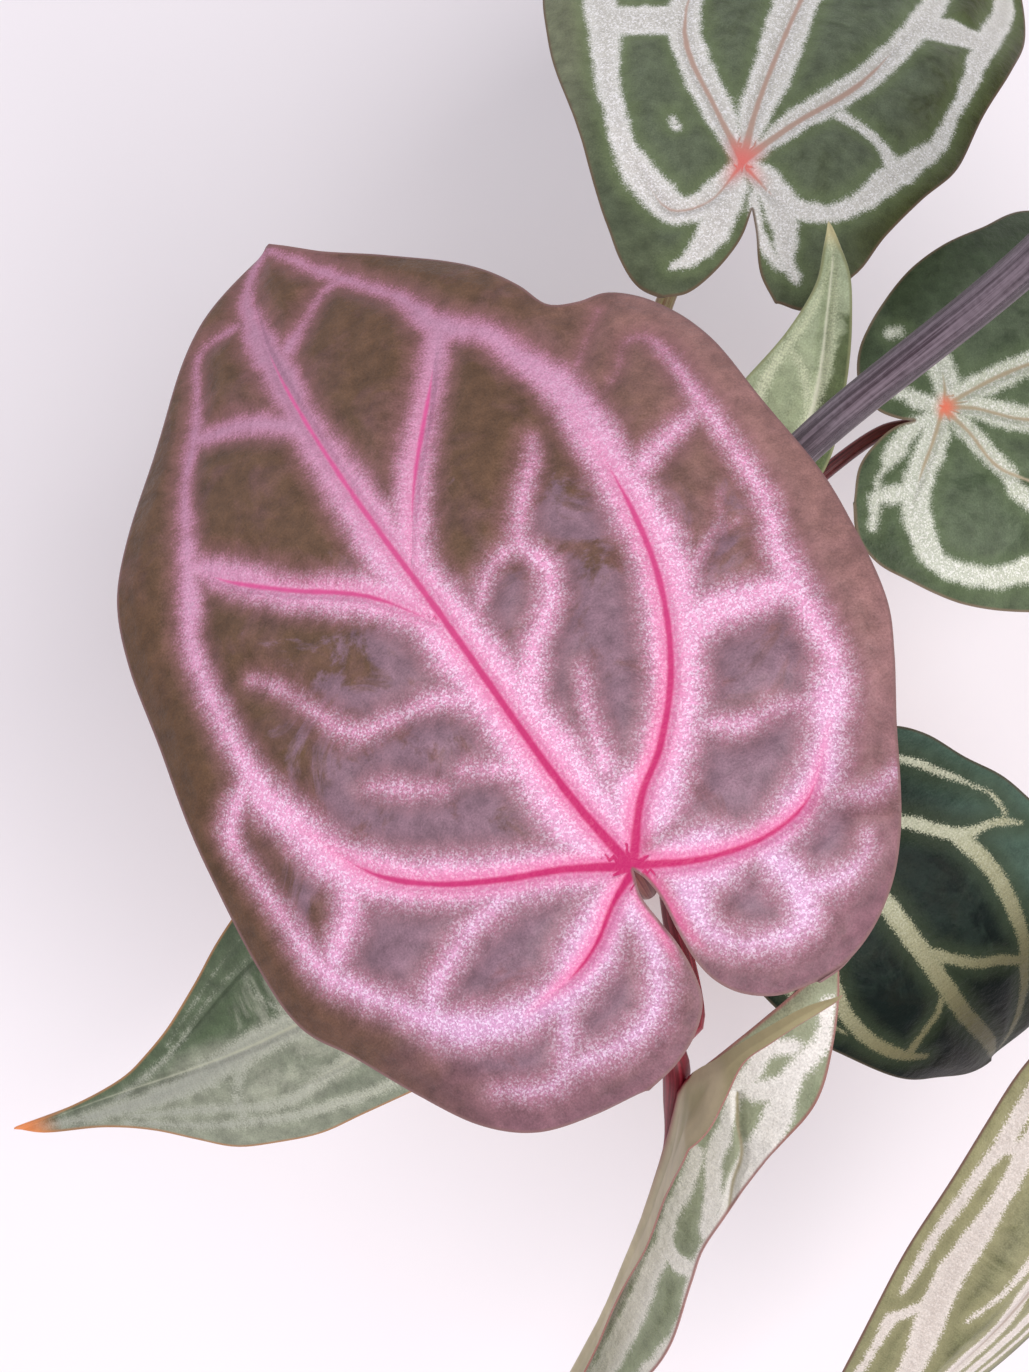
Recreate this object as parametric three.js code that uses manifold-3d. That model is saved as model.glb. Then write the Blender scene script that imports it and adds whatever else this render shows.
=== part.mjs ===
// Potted anthurium hybrid: an aroid with heart-shaped, silver and pink veined leaves in a clay pot.
// Millimetres, +Z up. The origin is the middle of the pot's base.

import * as THREE from "three";
import { mergeVertices } from "three/addons/utils/BufferGeometryUtils.js";
import Module from "manifold-3d";

const wasm = await Module();
wasm.setup();

// Driving dimensions
const GAP = 0.3;
const POT_HEIGHT = 115;
const POT_TOP_RADIUS = 65;
const POT_BASE_RADIUS = 46;
const POT_WALL = 6;
const RIM_HEIGHT = 25;
const RIM_STEP = 4;
const POT_SIDES = 40;
const DRAIN_RADIUS = 5;
const DRAIN_RING_RADIUS = 26;
const DRAIN_COUNT = 4;
const SOIL_LEVEL = 102;
const CHUNK_COUNT = 34;
const CHUNK_SIZE = 9;
const STEM_RADIUS = 8;
const STEM_TOP = 147;
const STEM_DEPTH = 40;
const STEM_SIDES = 14;
const ROOT_COUNT = 6;
const ROOT_RADIUS = 1.8;
const BLADE_THICKNESS = 0.8;
const PETIOLE_SIDES = 8;
const PETIOLE_STEPS = 15;

const DEGREE = Math.PI / 180;
const lerp = THREE.MathUtils.lerp;
const clamp = THREE.MathUtils.clamp;

// Leaves. Each blade is an outline on a flat sheet, bent into place.
// Sheet coordinates: x across the blade, y along it, in mm from the point where the petiole joins.
//   midrib   from the bottom of the notch to the tip
//   margins  from the tip round each side to the end of the basal lobe
//   notches  from the bottom of the notch along its edge to the end of the lobe
// Placement: base is the petiole joint, heading turns about +Z, pitch tips the blade's end down,
// roll turns it about its midrib, and curl is the whole bend along it. fold raises each half about
// the midrib and camber bends it across, as [left, right] in degrees.
const LEAVES = [
  {
    name: "bronze",
    colour: 0x6d5345,
    base: [-2.1, -81.5, 290],
    heading: 122, pitch: -5, roll: 8, length: 176, curl: 34,
    fold: [-2, -2], camber: [22, 16], half: 75,
    wave: { height: 1.2, count: 5 },
    rows: 24, columns: 7,
    midrib: [[0, -0.5], [-2, 14], [-4, 40], [-6, 65], [-9, 100], [-10, 125], [-9, 145], [-5, 165], [3, 176]],
    leftMargin: [
      [3, 176], [-6, 172], [-17, 166], [-29, 157], [-44, 142], [-58, 127], [-68, 115], [-73, 101],
      [-76, 77], [-80, 51], [-82, 26], [-80, 8], [-73, -3], [-65, -17], [-56, -29], [-46, -36],
      [-34, -39], [-21, -40],
    ],
    leftNotch: [
      [0, -0.5], [-1.5, -5.5], [-1, -12], [-0.3, -18], [-0.7, -25], [-2.2, -30], [-6.5, -34.5],
      [-13, -38], [-21, -40],
    ],
    rightMargin: [
      [3, 176], [13, 165], [25, 156], [36, 146], [42, 138], [47, 128], [50, 120], [56, 118],
      [63, 118], [69, 114], [74, 106], [77, 95], [78, 75], [80, 53], [79, 40], [75, 19], [70, 9],
      [62, -4], [56, -14], [50, -23], [43, -31], [35, -36.5], [27, -39], [19, -39],
    ],
    rightNotch: [
      [0, -0.5], [1.2, -3.5], [1.7, -8.5], [1.1, -15], [0.9, -22], [2, -27.5], [5, -32.5],
      [11, -37], [19, -39],
    ],
    petiole: {
      colour: 0x7a4a4e, radii: [3.2, 2.4], from: [-108, 138],
      through: [[-4, -22, 200], [-7, -52, 258]],
    },
  },
  {
    name: "rear",
    colour: 0x5f6a54,
    base: [31.5, 104, 225],
    heading: 68, pitch: 10, roll: 0, length: 178, curl: 36,
    fold: [0, 0], camber: [26, 22], half: 62,
    wave: { height: 1.5, count: 5 },
    rows: 18, columns: 5,
    midrib: [[7, -12], [4, -5], [0, 0], [0, 60], [0, 120], [0, 178]],
    leftMargin: [
      [0, 178], [-18, 164], [-42, 138], [-62, 106], [-73, 76], [-74, 52], [-64, 29], [-49, 5],
      [-40, -8], [-32, -19], [-26, -28], [-19, -37], [-12, -42], [-5, -43],
    ],
    leftNotch: [[7, -12], [7.2, -21], [4, -33], [0, -40], [-5, -43]],
    rightMargin: [
      [0, 178], [16, 164], [36, 142], [52, 118], [58, 100], [57, 74], [54, 53], [52, 29],
      [46, 12], [40, -5], [37, -18], [30, -31], [21, -34],
    ],
    rightNotch: [[7, -12], [10, -17.5], [15, -28], [21, -34]],
    petiole: {
      colour: 0x7d5a4c, radii: [3, 2.2], from: [106, 132],
      through: [[6, 42, 178], [14.4, 78.5, 203]],
    },
  },
  {
    name: "right",
    colour: 0x515d4a,
    base: [84.4, 46.7, 205],
    heading: 8, pitch: 8, roll: 0, length: 135, curl: 34,
    fold: [0, 0], camber: [20, 20], half: 55,
    wave: { height: 1.2, count: 4 },
    rows: 16, columns: 5,
    midrib: [[3, -9], [0, 0], [0, 50], [0, 100], [0, 135]],
    leftMargin: [
      [0, 135], [-14, 122], [-36, 98], [-52, 72], [-61, 44], [-53, 24], [-47, 10], [-40, -1],
      [-30, -11], [-19, -19], [-12, -21], [-7, -21],
    ],
    leftNotch: [[3, -9], [2, -13], [-1, -18], [-7, -21]],
    rightMargin: [
      [0, 135], [13, 122], [33, 98], [48, 72], [56, 46], [55, 20], [52, 2], [48, -10],
      [43, -18], [38, -24], [31, -28], [22, -28],
    ],
    rightNotch: [[3, -9], [4, -14], [7, -19], [13, -25], [22, -28]],
    petiole: {
      colour: 0x4c141b, radii: [2.4, 1.7], from: [40, 124],
      through: [[32, 15, 168], [54.6, 33.2, 190], [70.4, 44, 193]],
    },
  },
  {
    name: "rear_small",
    colour: 0xa4a996,
    base: [32.5, 27, 224],
    heading: 71, pitch: -27, roll: 0, length: 58, curl: 8,
    fold: [14, 14], camber: [20, 20], half: 30,
    wave: { height: 0.4, count: 3 },
    rows: 12, columns: 4,
    midrib: [[0, -2], [1, 2], [4, 12], [6, 24], [6, 34], [5, 43], [2, 52], [-1, 58]],
    leftMargin: [
      [-1, 58], [0, 52], [1, 44], [-2, 31], [-8, 17], [-13, 6], [-15, -4], [-13, -11], [-8, -13],
      [-4, -11],
    ],
    leftNotch: [[0, -2], [-1, -6], [-4, -11]],
    rightMargin: [
      [-1, 58], [3, 54], [8, 48], [12, 38], [15, 27], [17, 16], [18, 6], [16, -4], [12, -10],
      [6, -11],
    ],
    rightNotch: [[0, -2], [2, -6], [6, -11]],
    petiole: {
      colour: 0x8a8a6a, radii: [1.8, 1.3], from: [76, 141],
      through: [[12, 16, 178], [24, 24, 208]],
    },
  },
  {
    name: "left",
    colour: 0x6b7657,
    base: [-36.5, -85.5, 195],
    heading: 203, pitch: 8, roll: 0, length: 140, curl: 24,
    fold: [-12, 10], camber: [50, 25], half: 50,
    wave: { height: 0.8, count: 4 },
    rows: 18, columns: 5,
    midrib: [[0, -5], [0, 0], [-2, 30], [-4, 70], [-4, 100], [0, 125], [3, 140]],
    leftMargin: [
      [3, 140], [-1, 132], [-7, 112], [-13, 100], [-20, 91], [-27, 82], [-31, 71], [-34, 60],
      [-34, 48], [-34, 34], [-34, 20], [-32, 4], [-27, -10], [-19, -18], [-11, -20],
    ],
    leftNotch: [[0, -5], [-2, -11], [-5, -16], [-11, -20]],
    rightMargin: [
      [3, 140], [2, 124], [2, 110], [3, 99], [5, 92], [9, 82], [16, 71], [23, 62], [28, 54],
      [34, 42], [40, 28], [43, 12], [41, -4], [35, -16], [26, -23], [17, -25], [11, -22],
    ],
    rightNotch: [[0, -5], [2, -11], [5, -17], [11, -22]],
    petiole: {
      colour: 0x7a6a4c, radii: [2.8, 2], from: [215, 128],
      through: [[-24, -30, 158], [-34, -64, 181]], seat: 0.7,
    },
  },
  {
    name: "dark",
    colour: 0x2e3c35,
    base: [56, -65.8, 205],
    heading: -52, pitch: 2, roll: -6, length: 98, curl: 80,
    fold: [0, 0], camber: [8, 24], half: 50,
    wave: { height: 0.8, count: 4 },
    rows: 16, columns: 5,
    midrib: [[0, -4], [0, 0], [2, 30], [2, 60], [0, 98]],
    leftMargin: [
      [0, 98], [-8, 93], [-20, 83], [-33, 68], [-42, 48], [-44, 30], [-42, 19], [-40, 10],
      [-36, 1], [-32, -10], [-26, -17], [-18, -19], [-10, -16],
    ],
    leftNotch: [[0, -4], [-2, -8], [-5, -13], [-10, -16]],
    rightMargin: [
      [0, 98], [9, 90], [18, 76], [26, 61], [32, 48], [37, 35], [39, 24], [40, 10], [37, -4],
      [31, -14], [22, -19], [13, -18], [8, -15],
    ],
    rightNotch: [[0, -4], [2, -8], [4, -12], [8, -15]],
    petiole: {
      colour: 0x4b4a38, radii: [2.6, 1.9], from: [-36, 130],
      through: [[24, -26, 165], [44, -50, 190]], seat: 0.7,
    },
  },
  {
    name: "folded",
    colour: 0x8f9c84,
    base: [13, -122.7, 240],
    heading: -108, pitch: 44, roll: 45, length: 172, curl: 8, twist: -20,
    fold: [80, 55], foldLobe: [40, 110], foldTip: [80, 48], camber: [8, 8], half: 30,
    wave: { height: 0.6, count: 4 },
    rows: 20, columns: 4,
    midrib: [[0, -2], [0, 0], [0, 60], [0, 120], [0, 172]],
    leftMargin: [
      [0, 172], [-7, 152], [-16, 125], [-22, 100], [-25.5, 75], [-23, 54], [-21, 42], [-21.5, 28],
      [-25, 0], [-26.7, -12], [-25.5, -23], [-24, -33], [-22, -40],
    ],
    leftNotch: [[0, -2], [-3, -9], [-7, -18], [-12, -28], [-17, -36], [-22, -40]],
    rightMargin: [
      [0, 172], [6, 152], [14, 125], [20, 100], [22.5, 77], [20.5, 60], [22, 40], [27, 15],
      [27.5, 4], [23, -4], [16.5, -11], [14.5, -19], [17.5, -27], [20.5, -34.5], [24.4, -42.5],
    ],
    rightNotch: [[0, -2], [3, -7], [6.6, -13], [11, -22.5], [14.5, -29.5], [19, -37], [24.4, -42.5]],
    petiole: {
      colour: 0x630416, radii: [2.9, 2.6], from: [-72, 134],
      through: [[10, -40, 182], [11, -84, 226], [13, -111, 243]],
    },
  },
  {
    name: "corner",
    colour: 0x6e6d4e,
    base: [125.2, -128.8, 215],
    heading: -126, pitch: 22, roll: 8, length: 150, curl: 20,
    fold: [-35, 0], camber: [35, 20], half: 45,
    wave: { height: 1, count: 4 },
    rows: 16, columns: 4,
    midrib: [[0, -4], [0, 0], [0, 60], [0, 150]],
    leftMargin: [
      [0, 150], [-9, 138], [-20, 116], [-28, 92], [-33, 66], [-35, 38], [-34, 12], [-30, -8],
      [-23, -19], [-15, -23], [-9, -20],
    ],
    leftNotch: [[0, -4], [-2, -9], [-5, -15], [-9, -20]],
    rightMargin: [
      [0, 150], [6, 136], [13, 118], [19, 96], [24, 72], [27, 52], [30, 28], [31, 8],
      [28, -10], [21, -20], [14, -23], [9, -20],
    ],
    rightNotch: [[0, -4], [2, -9], [5, -15], [9, -20]],
    petiole: {
      colour: 0x6a6a4a, radii: [2.8, 2], from: [-10, 120],
      through: [[60, -36, 142], [112, -82, 158], [130, -114, 193]], seat: 1.2,
    },
  },
  {
    name: "far_right",
    colour: 0x5a654f,
    base: [108, 44, 395],
    heading: 12, pitch: 52, roll: 0, length: 180, curl: 24,
    fold: [0, 0], camber: [20, 20], half: 60,
    wave: { height: 1.5, count: 5 },
    rows: 18, columns: 5,
    midrib: [[0, -5], [0, 0], [0, 90], [0, 180]],
    leftMargin: [
      [0, 180], [-10, 166], [-28, 134], [-46, 98], [-58, 62], [-62, 30], [-59, 2], [-50, -22],
      [-38, -37], [-24, -41], [-13, -35],
    ],
    leftNotch: [[0, -5], [-3, -16], [-7, -27], [-13, -35]],
    rightMargin: [
      [0, 180], [10, 166], [28, 134], [46, 98], [58, 62], [62, 30], [59, 2], [50, -22],
      [38, -37], [24, -41], [13, -35],
    ],
    rightNotch: [[0, -5], [3, -16], [7, -27], [13, -35]],
    petiole: {
      colour: 0x73666f, radii: [4.4, 3.8], from: [2, 137],
      through: [[13, 1, 190], [39.8, 15.2, 270], [71.8, 28.2, 335]],
    },
  },
];

// Solids and meshes

function solid(geometry) {
  const shape = geometry.clone();
  shape.deleteAttribute("normal");
  shape.deleteAttribute("uv");
  const merged = mergeVertices(shape, 1e-4);
  return new wasm.Manifold(
    new wasm.Mesh({
      numProp: 3,
      vertProperties: merged.attributes.position.array,
      triVerts: new Uint32Array(merged.index.array),
    }),
  );
}

function geometryOf(manifold) {
  const mesh = manifold.getMesh();
  const geometry = new THREE.BufferGeometry();
  geometry.setAttribute("position", new THREE.BufferAttribute(mesh.vertProperties, 3));
  geometry.setIndex(new THREE.BufferAttribute(mesh.triVerts, 1));
  geometry.computeVertexNormals();
  return geometry;
}

function piece(name, geometry, colour, roughness) {
  const material = new THREE.MeshStandardMaterial({ color: colour, roughness, metalness: 0 });
  material.side = THREE.DoubleSide;
  const mesh = new THREE.Mesh(geometry, material);
  mesh.name = name;
  return mesh;
}

function polar(radius, angle, height) {
  return new THREE.Vector3(radius * Math.cos(angle), radius * Math.sin(angle), height);
}

// A round tube through the given points, closed at both ends, whose radius runs from the first to
// the last of radii.
function taperedTube(points, radii, sides, steps) {
  const curve = new THREE.CatmullRomCurve3(points, false, "centripetal");
  const frames = curve.computeFrenetFrames(steps, false);
  const vertices = [];
  const faces = [];
  for (let i = 0; i <= steps; i++) {
    const centre = curve.getPointAt(i / steps);
    const radius = lerp(radii[0], radii[1], i / steps);
    for (let j = 0; j < sides; j++) {
      const angle = (2 * Math.PI * j) / sides;
      const out = frames.normals[i].clone().multiplyScalar(Math.cos(angle));
      out.addScaledVector(frames.binormals[i], Math.sin(angle));
      vertices.push(centre.clone().addScaledVector(out, radius));
    }
  }
  for (let i = 0; i < steps; i++) {
    for (let j = 0; j < sides; j++) {
      const a = i * sides + j;
      const b = i * sides + ((j + 1) % sides);
      faces.push(a, b, b + sides, a, b + sides, a + sides);
    }
  }
  const first = vertices.push(curve.getPointAt(0)) - 1;
  const last = vertices.push(curve.getPointAt(1)) - 1;
  for (let j = 0; j < sides; j++) {
    const next = (j + 1) % sides;
    faces.push(first, next, j);
    faces.push(last, steps * sides + j, steps * sides + next);
  }
  return new THREE.BufferGeometry().setFromPoints(vertices).setIndex(faces);
}

// Pot

function potGeometry() {
  const slope = (POT_TOP_RADIUS - RIM_STEP - POT_BASE_RADIUS) / (POT_HEIGHT - RIM_HEIGHT);
  const shoulder = POT_HEIGHT - RIM_HEIGHT;
  const profile = [
    [0, 0],
    [POT_BASE_RADIUS - 2, 0],
    [POT_BASE_RADIUS, 2],
    [POT_BASE_RADIUS + slope * shoulder, shoulder],
    [POT_TOP_RADIUS - 1, shoulder],
    [POT_TOP_RADIUS, shoulder + 2],
    [POT_TOP_RADIUS, POT_HEIGHT - 2],
    [POT_TOP_RADIUS - 2, POT_HEIGHT],
    [POT_TOP_RADIUS - POT_WALL + 1, POT_HEIGHT],
    [innerRadius(POT_HEIGHT - 2), POT_HEIGHT - 2],
    [innerRadius(POT_WALL), POT_WALL],
    [0, POT_WALL],
  ];
  const lathe = new THREE.LatheGeometry(profile.map(([r, z]) => new THREE.Vector2(r, z)), POT_SIDES);
  lathe.rotateX(Math.PI / 2);
  let pot = solid(lathe);
  for (let i = 0; i < DRAIN_COUNT; i++) {
    const place = polar(DRAIN_RING_RADIUS, (2 * Math.PI * (i + 0.5)) / DRAIN_COUNT, POT_WALL / 2);
    const drain = new THREE.CylinderGeometry(DRAIN_RADIUS, DRAIN_RADIUS, POT_WALL * 2, 12);
    drain.rotateX(Math.PI / 2).translate(place.x, place.y, place.z);
    pot = pot.subtract(solid(drain));
  }
  return geometryOf(pot);
}

function innerRadius(height) {
  const topInner = POT_TOP_RADIUS - POT_WALL;
  return lerp(POT_BASE_RADIUS - POT_WALL, topInner, clamp(height / POT_HEIGHT, 0, 1));
}

// Potting mix: it fills the pot, with bark pieces half sunk in its top and a plain hole for the stem

function pottingMixGeometry() {
  const bottom = POT_WALL + GAP;
  const profile = [
    [0, bottom],
    [innerRadius(bottom) - 2 * GAP, bottom],
    [innerRadius(SOIL_LEVEL) - 2 * GAP, SOIL_LEVEL],
    [POT_TOP_RADIUS * 0.5, SOIL_LEVEL + 2],
    [0, SOIL_LEVEL + 3],
  ];
  const lathe = new THREE.LatheGeometry(profile.map(([r, z]) => new THREE.Vector2(r, z)), POT_SIDES);
  lathe.rotateX(Math.PI / 2);
  let mix = solid(lathe);
  const random = seededRandom(7);
  const goldenAngle = Math.PI * (3 - Math.sqrt(5));
  for (let i = 0; i < CHUNK_COUNT; i++) {
    const reach = lerp(22, innerRadius(SOIL_LEVEL) - CHUNK_SIZE, Math.sqrt((i + 0.5) / CHUNK_COUNT));
    const place = polar(reach, i * goldenAngle, SOIL_LEVEL + 1);
    const chunk = new THREE.IcosahedronGeometry(CHUNK_SIZE / 2, 0);
    chunk.scale(0.7 + 0.7 * random(), 0.6 + 0.5 * random(), 0.5 + 0.4 * random());
    chunk.rotateX((random() - 0.5) * 0.8).rotateZ(random() * Math.PI);
    chunk.translate(place.x, place.y, place.z);
    mix = mix.add(solid(chunk));
  }
  const holeBottom = SOIL_LEVEL - STEM_DEPTH - GAP;
  const hole = new THREE.CylinderGeometry(STEM_RADIUS + 2 * GAP, STEM_RADIUS + 2 * GAP, 60, STEM_SIDES * 2);
  hole.rotateX(Math.PI / 2).translate(0, 0, holeBottom + 30);
  return geometryOf(mix.subtract(solid(hole)));
}

function seededRandom(seed) {
  let state = seed;
  return () => {
    state = (state * 16807) % 2147483647;
    return state / 2147483647;
  };
}

// Stem: a short upright crown ringed with leaf scars, with stubby aerial roots that point down

function stemGeometry() {
  const profile = [
    [0, SOIL_LEVEL - STEM_DEPTH],
    [STEM_RADIUS, SOIL_LEVEL - STEM_DEPTH],
    [STEM_RADIUS, SOIL_LEVEL + 8],
    [STEM_RADIUS - 0.8, SOIL_LEVEL + 14],
    [STEM_RADIUS, SOIL_LEVEL + 20],
    [STEM_RADIUS - 0.6, SOIL_LEVEL + 26],
    [STEM_RADIUS, SOIL_LEVEL + 32],
    [STEM_RADIUS - 0.2, STEM_TOP - 5],
    [STEM_RADIUS - 3, STEM_TOP],
    [0, STEM_TOP + 1],
  ];
  const lathe = new THREE.LatheGeometry(profile.map(([r, z]) => new THREE.Vector2(r, z)), STEM_SIDES);
  lathe.rotateX(Math.PI / 2);
  let stem = solid(lathe);
  for (let i = 0; i < ROOT_COUNT; i++) {
    const angle = (2 * Math.PI * (i + 0.35)) / ROOT_COUNT;
    const level = SOIL_LEVEL + 13 + 3 * (i % 3);
    const route = [
      polar(STEM_RADIUS - 3, angle, level),
      polar(STEM_RADIUS + 3, angle, level - 1),
      polar(STEM_RADIUS + 6, angle + 0.2, level - 5),
    ];
    stem = stem.add(solid(taperedTube(route, [ROOT_RADIUS, ROOT_RADIUS * 0.6], 7, 5)));
  }
  return geometryOf(stem);
}

// Blades

// Where the midrib runs on the flat sheet at the given y.
function midribX(leaf, y) {
  const points = leaf.midrib;
  if (y <= points[0][1]) return points[0][0];
  for (let i = 1; i < points.length; i++) {
    const [x0, y0] = points[i - 1];
    const [x1, y1] = points[i];
    if (y <= y1) return lerp(x0, x1, (y - y0) / (y1 - y0));
  }
  return points[points.length - 1][0];
}

// The blade's own axes: along its midrib, across it to its right, and out of its upper face.
function bladeAxes(leaf) {
  const heading = leaf.heading * DEGREE;
  const pitch = leaf.pitch * DEGREE;
  const roll = leaf.roll * DEGREE;
  const flat = new THREE.Vector3(Math.cos(heading), Math.sin(heading), 0);
  const along = flat.clone().multiplyScalar(Math.cos(pitch));
  along.z = -Math.sin(pitch);
  const level = flat.clone().multiplyScalar(Math.sin(pitch));
  level.z = Math.cos(pitch);
  const side = along.clone().cross(level);
  const across = side.clone().multiplyScalar(Math.cos(roll)).addScaledVector(level, Math.sin(roll));
  const up = level.clone().multiplyScalar(Math.cos(roll)).addScaledVector(side, -Math.sin(roll));
  return { along, across, up };
}

// How far a half blade is folded up about the midrib, in radians, at the given y.
function foldAngle(leaf, half, y) {
  const middle = leaf.fold[half];
  const towardsTip = clamp(y / leaf.length, 0, 1);
  const towardsLobe = clamp(-y / (0.25 * leaf.length), 0, 1);
  const tip = (leaf.foldTip ?? leaf.fold)[half] - middle;
  const lobe = (leaf.foldLobe ?? leaf.fold)[half] - middle;
  return (middle + tip * towardsTip + lobe * towardsLobe) * DEGREE;
}

// Bends the sheet point (x, y), raised by lift, into the blade's place in space.
function bladePoint(leaf, x, y, lift) {
  const middle = midribX(leaf, y);
  const half = x < middle ? 0 : 1;
  const side = x < middle ? -1 : 1;
  const reach = Math.abs(x - middle);
  const fold = foldAngle(leaf, half, y);
  const bend = (leaf.camber[half] * DEGREE) / leaf.half;
  const out = (Math.sin(fold) - Math.sin(fold - bend * reach)) / bend;
  const rise = (Math.cos(fold - bend * reach) - Math.cos(fold)) / bend + lift;
  const twist = ((leaf.twist ?? 0) * DEGREE * y) / leaf.length;
  const sideways = middle + out * side * Math.cos(twist) - rise * Math.sin(twist);
  const height = out * side * Math.sin(twist) + rise * Math.cos(twist);
  const curl = (leaf.curl * DEGREE) / leaf.length;
  const turn = curl * y;
  const forward = Math.sin(turn) / curl + height * Math.sin(turn);
  const raised = (Math.cos(turn) - 1) / curl + height * Math.cos(turn);
  const { along, across, up } = bladeAxes(leaf);
  return new THREE.Vector3(...leaf.base)
    .addScaledVector(across, sideways)
    .addScaledVector(along, forward)
    .addScaledVector(up, raised);
}

function smooth(points) {
  const knots = points.map(([x, y]) => new THREE.Vector3(x, y, 0));
  return new THREE.CatmullRomCurve3(knots, false, "centripetal");
}

// How far along a curve, from 0 to 1, it first comes below the given y.
function fractionBelow(curve, y) {
  const steps = 400;
  for (let i = 1; i <= steps; i++) {
    if (curve.getPointAt(i / steps).y < y) return i / steps;
  }
  return 1;
}

// A half blade is a grid of rows that run from the midrib, then from the notch's edge, out to the
// margin. The rows crowd towards the tip and the end of the lobe.
function halfBladeRows(leaf, margin, notch) {
  const midrib = smooth(leaf.midrib);
  const edge = smooth(margin);
  const inner = smooth(notch);
  const junctionY = leaf.midrib[0][1] + 0.05 * leaf.length;
  const split = fractionBelow(edge, junctionY);
  const upperRows = Math.round(leaf.rows * 0.68);
  const rows = [];
  for (let i = 0; i <= leaf.rows; i++) {
    const upper = i <= upperRows;
    const share = upper ? i / upperRows : (i - upperRows) / (leaf.rows - upperRows);
    const from = upper ? midrib.getPointAt(1 - share) : inner.getPointAt(share);
    const to = upper ? edge.getPointAt(split * share) : edge.getPointAt(lerp(split, 1, share));
    rows.push({ from, to, share: i / leaf.rows });
  }
  return rows;
}

function bladeGeometry(leaf) {
  const points = [];
  const places = new Map();
  const faces = [];
  const vertex = (x, y, lift) => {
    const key = x.toFixed(3) + " " + y.toFixed(3);
    if (!places.has(key)) {
      places.set(key, points.length);
      points.push(bladePoint(leaf, x, y, lift));
    }
    return places.get(key);
  };
  const halves = [
    [leaf.leftMargin, leaf.leftNotch, -1],
    [leaf.rightMargin, leaf.rightNotch, 1],
  ];
  for (const [margin, notch, side] of halves) {
    const grid = halfBladeRows(leaf, margin, notch).map(({ from, to, share }) => {
      const row = [];
      for (let j = 0; j <= leaf.columns; j++) {
        const spot = from.clone().lerp(to, j / leaf.columns);
        const ripple = Math.sin(2 * Math.PI * leaf.wave.count * share + side);
        row.push(vertex(spot.x, spot.y, leaf.wave.height * ripple * (j / leaf.columns) ** 2));
      }
      return row;
    });
    for (let i = 1; i < grid.length; i++) {
      for (let j = 1; j <= leaf.columns; j++) {
        const square = [grid[i - 1][j - 1], grid[i - 1][j], grid[i][j], grid[i][j - 1]];
        if (side > 0) square.reverse();
        addFace(faces, square[0], square[1], square[2]);
        addFace(faces, square[0], square[2], square[3]);
      }
    }
  }
  return thickened(points, faces, BLADE_THICKNESS);
}

function addFace(faces, a, b, c) {
  if (a !== b && b !== c && c !== a) faces.push(a, b, c);
}

// Gives an open sheet a thickness below its upper face, with the same triangles on both faces.
function thickened(points, faces, thickness) {
  const skin = new THREE.BufferGeometry().setFromPoints(points).setIndex(faces);
  skin.computeVertexNormals();
  const normals = skin.attributes.normal;
  const count = points.length;
  const lower = points.map((point, i) => {
    const normal = new THREE.Vector3().fromBufferAttribute(normals, i);
    return point.clone().addScaledVector(normal, -thickness);
  });
  const all = [...faces];
  const edges = new Set();
  for (let i = 0; i < faces.length; i += 3) {
    const [a, b, c] = faces.slice(i, i + 3);
    all.push(count + a, count + c, count + b);
    for (const [from, to] of [[a, b], [b, c], [c, a]]) {
      if (!edges.delete(to + " " + from)) edges.add(from + " " + to);
    }
  }
  for (const edge of edges) {
    const [from, to] = edge.split(" ").map(Number);
    all.push(from, count + from, count + to, from, count + to, to);
  }
  return new THREE.BufferGeometry().setFromPoints([...points, ...lower]).setIndex(all);
}

// Petioles: each rises from the side of the stem and ends just below its blade's joint

function petioleGeometry(leaf) {
  const { radii, from, through, seat = 0.5 } = leaf.petiole;
  const [direction, height] = from;
  const { along, up } = bladeAxes(leaf);
  const start = polar(STEM_RADIUS + radii[0], direction * DEGREE, height);
  const rising = polar(STEM_RADIUS + 2 * radii[0], direction * DEGREE, height + 12);
  const joint = new THREE.Vector3(...leaf.base);
  const clearance = BLADE_THICKNESS + GAP + seat * radii[1];
  const end = joint.clone().addScaledVector(up, -clearance);
  const before = end.clone().addScaledVector(up, -8).addScaledVector(along, -5);
  const route = [start, rising, ...through.map((p) => new THREE.Vector3(...p)), before, end];
  return taperedTube(route, radii, PETIOLE_SIDES, PETIOLE_STEPS);
}

// Plant and pot

const plant = new THREE.Group();
plant.name = "potted_anthurium";
plant.add(piece("pot", potGeometry(), 0xb5694a, 0.9));
plant.add(piece("potting_mix", pottingMixGeometry(), 0x4a3527, 1));
plant.add(piece("stem", stemGeometry(), 0x6e5a40, 0.8));
for (const leaf of LEAVES) {
  plant.add(piece("petiole_" + leaf.name, petioleGeometry(leaf), leaf.petiole.colour, 0.5));
  plant.add(piece("blade_" + leaf.name, bladeGeometry(leaf), leaf.colour, 0.6));
}

export default plant;
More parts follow.
